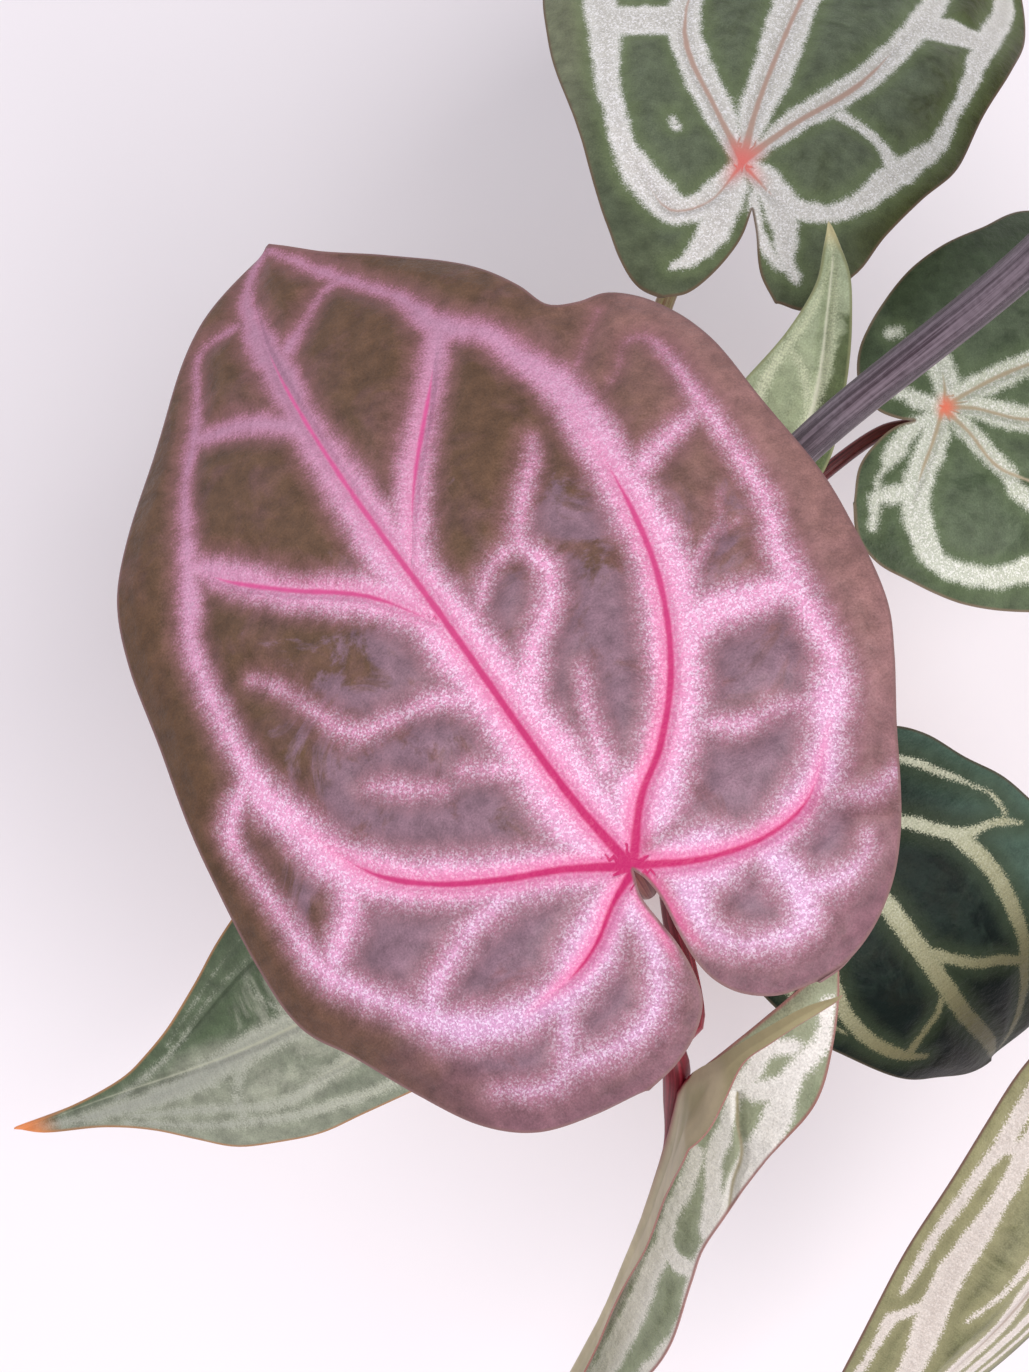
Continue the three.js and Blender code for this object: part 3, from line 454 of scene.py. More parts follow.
CORNER = {
    "joint": (125.2, -128.8, 215), "heading": -126, "pitch": 22, "roll": 8, "length": 150, "curl": 20,
    "fold": (-35, 0), "camber": (35, 20), "half": 45, "wave": (1, 4),
    "rows": 150, "columns": 50, "split_rows": 16,
    "midrib": [(0, -4), (0, 0), (0, 60), (0, 150)],
    "left": [
        (0, 150), (-9, 138), (-20, 116), (-28, 92), (-33, 66), (-35, 38), (-34, 12), (-30, -8),
        (-23, -19), (-15, -23), (-9, -20),
    ],
    "left_notch": [(0, -4), (-2, -9), (-5, -15), (-9, -20)],
    "right": [
        (0, 150), (6, 136), (13, 118), (19, 96), (24, 72), (27, 52), (30, 28), (31, 8), (28, -10),
        (21, -20), (14, -23), (9, -20),
    ],
    "right_notch": [(0, -4), (2, -9), (5, -15), (9, -20)],
    "bands": {
        "midrib": [(0, 0, 1.6), (0, 30, 1.4), (1, 46, 1.1), (1, 61, 0.6), (3, 73, 0.2)],
        "low": [(-3, 30, 1.6), (-5, 57, 2.4), (-8, 70, 2.7), (-6, 87, 2.9), (-3, 110, 2), (-1, 140, 0.8)],
        "left inner": [
            (-1, 0, 1.4), (-10, 14, 2), (-15, 40, 2.2), (-17, 66, 2.4), (-13, 90, 2.2), (-6, 122, 1),
        ],
        "left outer": [
            (-2, -4, 1.4), (-14, -12, 1.6), (-24, -2, 1.8), (-28, 30, 1.8), (-26, 64, 1.6),
            (-17, 98, 1.2), (-6, 128, 0.8),
        ],
        "right inner": [
            (1, 1, 1.4), (12, 8, 2), (19, 20, 2.2), (19, 27, 2.3), (17, 36, 2.1), (16, 43, 2.2),
            (15, 50, 2.7), (13, 66, 3.3), (9, 80, 3.5), (6, 89, 3), (3, 104, 2.2), (1, 135, 1),
        ],
        "right outer": [
            (2, -3, 1.2), (14, -10, 1.4), (24, -2, 1.6), (26, 12, 1.8), (24, 28, 2), (24, 37, 1.5),
            (23, 48, 1.4), (22, 59, 1.2), (20, 70, 1.1), (19, 77, 0.6),
        ],
        "right low": [(17, 84, 1.5), (15, 95, 0.9), (11, 115, 0.9), (3, 140, 0.5)],
        "right link high": [(19, 26, 1.6), (23, 30, 1.6)],
        "branch": [(12, 73, 1.2), (15, 80, 1.2), (17, 84, 1.4)],
    },
    "cores": {
        "midrib": [(0, 0, 0.9), (1, 30, 0.2), (1, 40, -1)],
        "low": [(-3, 30, 0.3), (-8, 70, 0.4), (-3, 110, -1)],
    },
}

FAR_RIGHT = {
    "joint": (108, 44, 395), "heading": 12, "pitch": 52, "roll": 0, "length": 180, "curl": 24,
    "fold": (0, 0), "camber": (20, 20), "half": 60, "wave": (1.5, 5),
    "rows": 110, "columns": 42, "split_rows": 18,
    "midrib": [(0, -5), (0, 0), (0, 90), (0, 180)],
    "left": [
        (0, 180), (-10, 166), (-28, 134), (-46, 98), (-58, 62), (-62, 30), (-59, 2), (-50, -22),
        (-38, -37), (-24, -41), (-13, -35),
    ],
    "left_notch": [(0, -5), (-3, -16), (-7, -27), (-13, -35)],
    "right": [
        (0, 180), (10, 166), (28, 134), (46, 98), (58, 62), (62, 30), (59, 2), (50, -22), (38, -37),
        (24, -41), (13, -35),
    ],
    "right_notch": [(0, -5), (3, -16), (7, -27), (13, -35)],
    "bands": {
        "midrib": [(0, 0, 1.5), (0, 30, 3.4), (0, 80, 3.6), (0, 130, 2.4), (0, 174, 0.8)],
        "left inner": [
            (-1, 1, 1.4), (-14, 14, 3), (-26, 40, 3), (-29, 76, 2.8), (-22, 116, 2.2), (-4, 168, 0.8),
        ],
        "left outer": [
            (-2, -4, 1.6), (-16, -22, 3), (-32, -24, 3), (-45, -4, 3), (-50, 34, 2.8), (-46, 70, 2.6),
            (-32, 112, 2), (-8, 158, 1),
        ],
        "left rungs": [(0, 70, 1.6), (-14, 84, 1.8), (-28, 86, 1.8), (-44, 76, 1.4)],
        "left low rung": [(-18, 20, 1.8), (-34, 20, 1.8), (-49, 26, 1.8)],
        "right inner": [
            (1, 1, 1.4), (13, 12, 3), (25, 38, 3), (29, 72, 2.8), (24, 112, 2.2), (5, 166, 0.8),
        ],
        "right outer": [
            (2, -4, 1.6), (15, -20, 3), (30, -25, 3), (44, -8, 3), (50, 30, 2.8), (47, 68, 2.6),
            (33, 110, 2), (9, 158, 1),
        ],
        "right rungs": [(0, 84, 1.6), (13, 96, 1.8), (26, 98, 1.6), (40, 90, 1.2)],
        "right low rung": [(16, 16, 1.8), (33, 14, 1.8), (48, 18, 1.8)],
    },
    "cores": {
        "midrib": [(0, 0, 1), (0, 80, 0.6), (0, 174, 0.2)],
        "left inner": [(-1, 1, 0.9), (-26, 40, 0.5), (-22, 116, 0.1)],
        "right inner": [(1, 1, 0.9), (25, 38, 0.5), (24, 112, 0.1)],
    },
}

LEAVES = {
    "bronze": BRONZE,
    "rear": REAR,
    "right": RIGHT,
    "rear_small": REAR_SMALL,
    "left": LEFT,
    "dark": DARK,
    "folded": FOLDED,
    "corner": CORNER,
    "far_right": FAR_RIGHT,
}

# Petioles: radii at foot and top in mm, direction and height of the foot on the stem, and the points
# passed on the way
PETIOLES = {
    "bronze": ((3.2, 2.4), (-108, 138), [(-4, -22, 200), (-7, -52, 258)]),
    "rear": ((3, 2.2), (106, 132), [(6, 42, 178), (14.4, 78.5, 203)]),
    "right": ((2.4, 1.7), (40, 124), [(32, 15, 168), (54.6, 33.2, 190), (70.4, 44, 193)]),
    "rear_small": ((1.8, 1.3), (76, 141), [(12, 15, 175), (23, 21, 198)]),
    "left": ((2.8, 2), (215, 128), [(-24, -30, 158), (-34, -64, 181)]),
    "dark": ((2.6, 1.9), (-36, 130), [(24, -26, 165), (44, -50, 190)]),
    "folded": ((2.9, 2.6), (-72, 134), [(10, -40, 182), (11, -84, 226), (13, -111, 243)]),
    "corner": ((2.8, 2), (-10, 120), [(60, -36, 142), (112, -82, 158), (130, -114, 193)]),
    "far_right": ((4.4, 3.8), (2, 137), [(13, 1, 190), (39.8, 15.2, 270), (71.8, 28.2, 335)]),
}

# Blades: thickness of the middle and the edge, how wide the edge's taper is and how far from the edge
# the relief is full; then, each with how far beside its vein it dies away, the quilting between the
# veins, the sunk cores above, and the ribs of cores and veins below. All in mm
BLADE_THICKNESS = 0.8
EDGE_THICKNESS = 0.45
EDGE_TAPER = 3
RELIEF_MARGIN = 6
QUILT = 0.7
QUILT_REACH = 4
GROOVE = 0.7
GROOVE_REACH = 1.4
RIB_HEIGHT = 1.1
RIB_REACH = 1.3
VEIN_HEIGHT = 0.35
VEIN_REACH = 2

# Where a petiole leaves the stem and where its knee meets the blade, in mm. The foot's share is of the
# stem's radius, and the swellings are shares of the petiole's own
STEM_RADIUS = 8
FOOT_DEPTH = 6
FOOT_SHARE = 0.35
FOOT_RISE = 12
FOOT_SWELLING = 0.25
GAP = 0.3
KNEE_SAG = 0.5
KNEE_DROP = 8
KNEE_BACK = 5
KNEE_SWELLING = 0.2
# The tail runs on under the midrib. Each step has its share of the tail's length, and its depth below
# the blade as a share of the top radius
TAIL_LENGTH = 13
TAIL_LENGTHS = {"folded": 30}
TAIL_STEPS = ((0.4, 0.78), (0.7, 0.46), (1, 0.3))

# Settings of the nodes that ease a value in and that mix two colours
SMOOTH = {"interpolation_type": "SMOOTHSTEP"}
COLOUR = {"data_type": "RGBA", "output": 2}


# Shared tools


def linear(hex_colour):
    """Turns an sRGB hex colour into Blender's linear RGBA."""
    parts = [int(hex_colour[i : i + 2], 16) / 255 for i in (1, 3, 5)]
    return [c / 12.92 if c <= 0.04045 else ((c + 0.055) / 1.055) ** 2.4 for c in parts] + [1]


def feed(node, inputs):
    """Sets or links a node's inputs, given by name or number, or in their order."""
    for key, value in inputs.items() if isinstance(inputs, dict) else enumerate(inputs):
        if isinstance(value, bpy.types.NodeSocket):
            node.id_data.links.new(value, node.inputs[key])
        else:
            node.inputs[key].default_value = value


def add_node(tree, kind, inputs=(), output=0, **settings):
    """Adds one node, sets its properties, feeds its inputs and gives back one of its outputs."""
    node = tree.nodes.new(kind)
    for name, value in settings.items():
        setattr(node, name, value)
    feed(node, inputs)
    return node.outputs[output] if len(node.outputs) else None


def new_material(name):
    """A new material, the function that adds a node to it, and its shader."""
    material = bpy.data.materials.new(name)
    material.use_nodes = True
    return material, partial(add_node, material.node_tree), material.node_tree.nodes["Principled BSDF"]


def lay_over(add, base, colour, value, start, end, share=1):
    """Lays a colour over a base, from none where value is start up to share where it is end."""
    cover = add("ShaderNodeMapRange", (value, start, end, 0, share), **SMOOTH)
    return add("ShaderNodeMix", {0: cover, 6: base, 7: colour}, **COLOUR)


def new_geometry_tree(name, inputs):
    """A geometry node tree with its inputs, each of a kind and default, and their sockets."""
    tree = bpy.data.node_groups.new(name, "GeometryNodeTree")
    for label, (kind, default) in {"Geometry": ("Geometry", None), **inputs}.items():
        socket = tree.interface.new_socket(label, in_out="INPUT", socket_type="NodeSocket" + kind)
        if default is not None:
            socket.default_value = default
    tree.interface.new_socket("Geometry", in_out="OUTPUT", socket_type="NodeSocketGeometry")
    return tree, tree.nodes.new("NodeGroupInput").outputs


def new_object(name, data):
    """A new object in the scene."""
    item = bpy.data.objects.new(name, data)
    bpy.context.scene.collection.objects.link(item)
    return item


def finish_piece(name, mesh, materials, nodes):
    """Puts a mesh in the scene as the piece that stands for CAD nodes."""
    piece = new_object(name, mesh)
    for material in materials:
        if material.name not in mesh.materials:
            mesh.materials.append(material)
    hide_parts(*nodes)
    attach(piece, BODY)
    return piece


def put_tree(item, tree, values):
    """Puts a geometry node tree on an object and sets its inputs by the identifiers of their sockets."""
    modifier = item.modifiers.new(tree.name, "NODES")
    modifier.node_group = tree
    sockets = {socket.name: socket for socket in tree.interface.items_tree if socket.in_out == "INPUT"}
    for name, value in values.items():
        modifier[sockets[name].identifier] = value


def plain_mesh(source, name):
    """The evaluated result of an object's modifiers as a mesh of its own. The source is removed."""
    bpy.context.view_layer.update()
    evaluated = source.evaluated_get(bpy.context.evaluated_depsgraph_get())
    mesh = bpy.data.meshes.new_from_object(evaluated)
    mesh.name = name
    source.modifiers.clear()
    bpy.data.objects.remove(source)
    return mesh


# Curves


def smooth_path(points, per_span=16):
    """A centripetal curve through the given points, as an array with per_span steps a span."""
    knots = np.array(points, float)
    first = 2 * knots[0] - knots[1]
    last = 2 * knots[-1] - knots[-2]
    knots = np.vstack([first, knots, last])
    path = []
    for i in range(1, len(knots) - 2):
        p0, p1, p2, p3 = knots[i - 1 : i + 3]
        gaps = [max(np.linalg.norm(b - a) ** 0.5, 1e-4) for a, b in ((p0, p1), (p1, p2), (p2, p3))]
        t1, t2, t3 = np.cumsum(gaps)
        t = np.linspace(t1, t2, per_span, endpoint=False)[:, None]
        a1 = (t1 - t) / t1 * p0 + t / t1 * p1
        a2 = (t2 - t) / (t2 - t1) * p1 + (t - t1) / (t2 - t1) * p2
        a3 = (t3 - t) / (t3 - t2) * p2 + (t - t2) / (t3 - t2) * p3
        b1 = (t2 - t) / t2 * a1 + t / t2 * a2
        b2 = (t3 - t) / (t3 - t1) * a2 + (t - t1) / (t3 - t1) * a3
        path.append((t2 - t) / (t2 - t1) * b1 + (t - t1) / (t2 - t1) * b2)
    path.append(knots[-2:-1])
    return np.vstack(path)


def along(path, shares):
    """Points at the given shares of a path's length."""
    steps = np.linalg.norm(np.diff(path, axis=0), axis=1)
    length = np.concatenate([[0], np.cumsum(steps)])
    at = np.asarray(shares) * length[-1]
    return np.stack([np.interp(at, length, path[:, k]) for k in range(path.shape[1])], axis=1)


def nearest_vein(points, veins, swell=0):
    """For each point: how far inside the nearest vein it lies in mm, negative outside; how far along
    that vein; how far to its right side, negative on its left; and the vein's half width there.

    swell is added to every vein's half width.
    """
    inside = np.full(len(points), -1e3)
    flow, offset, half = np.zeros((3, len(points)))
    travelled = 0
    for vein in veins:
        path = smooth_path(vein, 5)
        start = path[:-1]
        step = path[1:] - start
        length = np.maximum(np.hypot(step[:, 0], step[:, 1]), 1e-6)
        for a, d, size in zip(start, step, length):
            away = points - a[:2]
            t = np.clip((away @ d[:2]) / size**2, 0, 1)
            distance = np.hypot(away[:, 0] - t * d[0], away[:, 1] - t * d[1])
            width = a[2] + t * d[2] + swell
            nearer = width - distance > inside
            right = np.where(away[:, 0] * d[1] > away[:, 1] * d[0], 1, -1)
            inside[nearer] = (width - distance)[nearer]
            flow[nearer] = travelled + t[nearer] * size
            offset[nearer] = (right * distance)[nearer]
            half[nearer] = width[nearer]
            travelled += size
    return inside, flow, offset, half


# Blades

# What each point of a blade knows, in mm: how far inside the nearest vein it lies and how far along it,
# how far inside the nearest core, how far beside its middle and its half width, and the way to the edge
MEASURES = ("band", "flow", "core", "core_offset", "core_half", "rim")
# The share of a blade's rows that start on the midrib
UPPER_SHARE = 0.68


def blade_axes(leaf):
    """The blade's axes in space: across to its right, along its midrib, and up from its face."""
    heading, pitch, roll = (math.radians(leaf[k]) for k in ("heading", "pitch", "roll"))
    flat = np.array([math.cos(heading), math.sin(heading), 0])
    upright = np.array([0, 0, 1])
    ahead = flat * math.cos(pitch) - upright * math.sin(pitch)
    level = flat * math.sin(pitch) + upright * math.cos(pitch)
    side = np.cross(ahead, level)
    across = side * math.cos(roll) + level * math.sin(roll)
    up = level * math.cos(roll) - side * math.sin(roll)
    return across, ahead, up


def bend_sheet(leaf, x, y, lift):
    """Bends sheet points, raised by lift, into the blade's place in space, all in mm."""
    length = leaf["length"]
    rib = np.array(leaf["midrib"], float)
    middle = np.interp(y, rib[:, 1], rib[:, 0])
    left = x < middle
    side = np.where(left, -1, 1)
    reach = np.abs(x - middle)
    # Each half is folded about the midrib, by its own angle at the joint, the tip and the lobe's end
    flat = np.array(leaf["fold"])
    to_tip = np.multiply.outer(leaf.get("fold_tip", flat) - flat, np.clip(y / length, 0, 1))
    to_lobe = np.multiply.outer(leaf.get("fold_lobe", flat) - flat, np.clip(-y / (0.25 * length), 0, 1))
    fold = np.radians(np.where(left, *(flat[:, None] + to_tip + to_lobe)))
    bend = np.radians(np.where(left, *leaf["camber"])) / leaf["half"]
    out = (np.sin(fold) - np.sin(fold - bend * reach)) / bend
    rise = (np.cos(fold - bend * reach) - np.cos(fold)) / bend + lift
    twist = math.radians(leaf.get("twist", 0)) * y / length
    sideways = middle + out * side * np.cos(twist) - rise * np.sin(twist)
    height = out * side * np.sin(twist) + rise * np.cos(twist)
    curl = math.radians(leaf["curl"]) / length
    forward = np.sin(curl * y) / curl + height * np.sin(curl * y)
    raised = (np.cos(curl * y) - 1) / curl + height * np.cos(curl * y)
    return np.array(leaf["joint"]) + np.column_stack([sideways, forward, raised]) @ np.array(blade_axes(leaf))


def half_blade(leaf, margin, notch):
    """The inner and outer end of each row of sheet points, from midrib or notch out to the margin.

    The margin is split a little above the joint. The rows above the split start on the midrib, and
    those below it in the notch.
    """
    midrib, edge, inner = map(smooth_path, (leaf["midrib"], margin, notch))
    shares = np.linspace(0, 1, 401)
    level = leaf["midrib"][0][1] + 0.05 * leaf["length"]
    split = shares[np.argmax(along(edge, shares)[:, 1] < level)]
    coarse_upper = round(leaf["split_rows"] * UPPER_SHARE)
    upper = round(leaf["rows"] * coarse_upper / leaf["split_rows"])
    high = np.arange(upper + 1) / upper
    low = np.arange(1, leaf["rows"] - upper + 1) / (leaf["rows"] - upper)
    start = np.vstack([along(midrib, 1 - high), along(inner, low)])
    end = np.vstack([along(edge, split * high), along(edge, split + (1 - split) * low)])
    return start, end


def blade_sheet(leaf):
    """The flat grid of a blade: its points, the lift of its waved edge and the faces."""
    across = np.linspace(0, 1, leaf["columns"] + 1)
    shares = np.arange(leaf["rows"] + 1) / leaf["rows"]
    height, count = leaf["wave"]
    shape = (len(shares), len(across))
    spots, lifts = [], []
    for margin, side in (("left", -1), ("right", 1)):
        start, end = half_blade(leaf, leaf[margin], leaf[margin + "_notch"])
        grid = start[:, None] + (end - start)[:, None] * across[None, :, None]
        ripple = np.sin(2 * math.pi * count * shares + side)
        spots.append(grid.reshape(-1, 2))
        lifts.append((height * ripple[:, None] * across[None] ** 2).ravel())
    spots = np.vstack(spots)
    _, first, index = np.unique(np.round(spots, 3), axis=0, return_index=True, return_inverse=True)
    faces = []
    for half, numbers in enumerate(index.reshape(2, *shape)):
        squares = np.stack([numbers[:-1, :-1], numbers[:-1, 1:], numbers[1:, 1:], numbers[1:, :-1]], axis=-1)
        squares = squares.reshape(-1, 4)
        if half:
            squares = squares[:, ::-1]
        for square in squares.tolist():
            corners = [v for k, v in enumerate(square) if v != square[k - 1]]
            if len(set(corners)) == len(corners) and len(corners) > 2:
                faces.append(corners)
    return spots[first], np.concatenate(lifts)[first], faces


def vertex_normals(points, faces):
    """Unit normals of a surface's points, from the faces round each."""
    normals = np.zeros_like(points)
    # Each face's normal is square to two of its sides, or to its diagonals where it has four corners
    for count, (a, b, c, d) in {3: (0, 1, 0, 2), 4: (0, 2, 1, 3)}.items():
        group = np.array([f for f in faces if len(f) == count])
        if len(group):
            corners = points[group]
            cross = np.cross(corners[:, b] - corners[:, a], corners[:, d] - corners[:, c])
            for k in range(count):
                np.add.at(normals, group[:, k], cross)
    return normals / np.maximum(np.linalg.norm(normals, axis=1), 1e-12)[:, None]


def boundary(faces):
    """The directed edges that only one face has."""
    edges = {(a, b): True for face in faces for a, b in zip(face, face[1:] + face[:1])}
    return [(a, b) for a, b in edges if (b, a) not in edges]


def edge_distance(spots, leaf):
    """Distance of sheet points from the blade's outline, in mm."""
    outline = (leaf[k] for k in ("left", "left_notch", "right", "right_notch"))
    return -nearest_vein(spots, [[(x, y, 0) for x, y in line] for line in outline])[0]


def bell(inside, reach):
    """1 inside a vein, falling like a bell beside it over reach mm."""
    return np.exp(-((np.clip(-inside, 0, None) / reach) ** 2))


def make_blade(name, leaf, materials):
    """A blade with sunk veins and quilted skin above, and ribs that stand out below."""
    spots, lift, faces = blade_sheet(leaf)
    band, flow, _, _ = nearest_vein(spots, leaf["bands"].values(), leaf.get("swell", 0))
    core, _, core_offset, core_half = nearest_vein(spots, leaf["cores"].values())
    rim = edge_distance(spots, leaf)
    inland = np.clip(rim / RELIEF_MARGIN, 0, 1)
    quilt = leaf.get("quilt", QUILT) * (1 - bell(band, QUILT_REACH))
    relief = (quilt - GROOVE * bell(core, GROOVE_REACH)) * inland
    upper = bend_sheet(leaf, *spots.T, lift + relief)
    thickness = EDGE_THICKNESS + (BLADE_THICKNESS - EDGE_THICKNESS) * np.clip(rim / EDGE_TAPER, 0, 1)
    ribs = np.maximum(RIB_HEIGHT * bell(core, RIB_REACH), VEIN_HEIGHT * bell(band, VEIN_REACH)) * inland
    lower = upper - vertex_normals(upper, faces) * (thickness + ribs)[:, None]
    count = len(upper)
    walls = [(a, count + a, count + b, b) for a, b in boundary(faces)]
    under = [[count + v for v in reversed(face)] for face in faces]
    mesh = bpy.data.meshes.new("leaf_" + name)
    mesh.from_pydata((np.vstack([upper, lower]) * MM).tolist(), [], [*faces, *under, *walls])
    mesh.polygons.foreach_set("use_smooth", [True] * len(mesh.polygons))
    for material in materials:
        mesh.materials.append(material)
    mesh.polygons.foreach_set("material_index", [0] * len(faces) + [1] * len(under) + [0] * len(walls))
    for label, values in zip(MEASURES, (band, flow, core, core_offset, core_half, rim)):
        attribute = mesh.attributes.new(label, "FLOAT", "POINT")
        attribute.data.foreach_set("value", np.tile(values, 2).astype(np.float32))
    corner_points = np.empty(len(mesh.loops), np.int32)
    mesh.loops.foreach_get("vertex_index", corner_points)
    sheet = mesh.uv_layers.new(name="sheet")
    sheet.data.foreach_set("uv", (np.tile(spots, (2, 1))[corner_points] / SHEET_UNIT).ravel())
    mesh.update()
    mesh.set_sharp_from_angle(angle=math.radians(60))
    return mesh


# Leaf skin

# The sheet map's unit, the real sizes of the skin's patterns and the size of the painted sheen's patches, in
# mm
SHEET_UNIT = 100
BAY_SIZE = 5
GRAIN_SIZE = 0.45
CLOUD_SIZE = 14
UNDERSIDE_CLOUD_SIZE = 9
SHEEN_PATCH_SIZE = 22
CELL_SIZE = 0.35
FIBRE_WIDTH = 0.8
FIBRE_LENGTH = 7
# How far, in sheet units, the clouds shift the edge of a coloured flank
FLANK_SHIFT = 0.1


def sheet_scale(size_mm):
    """Noise scale on the sheet map at which one cell is size_mm."""
    return SHEET_UNIT / size_mm
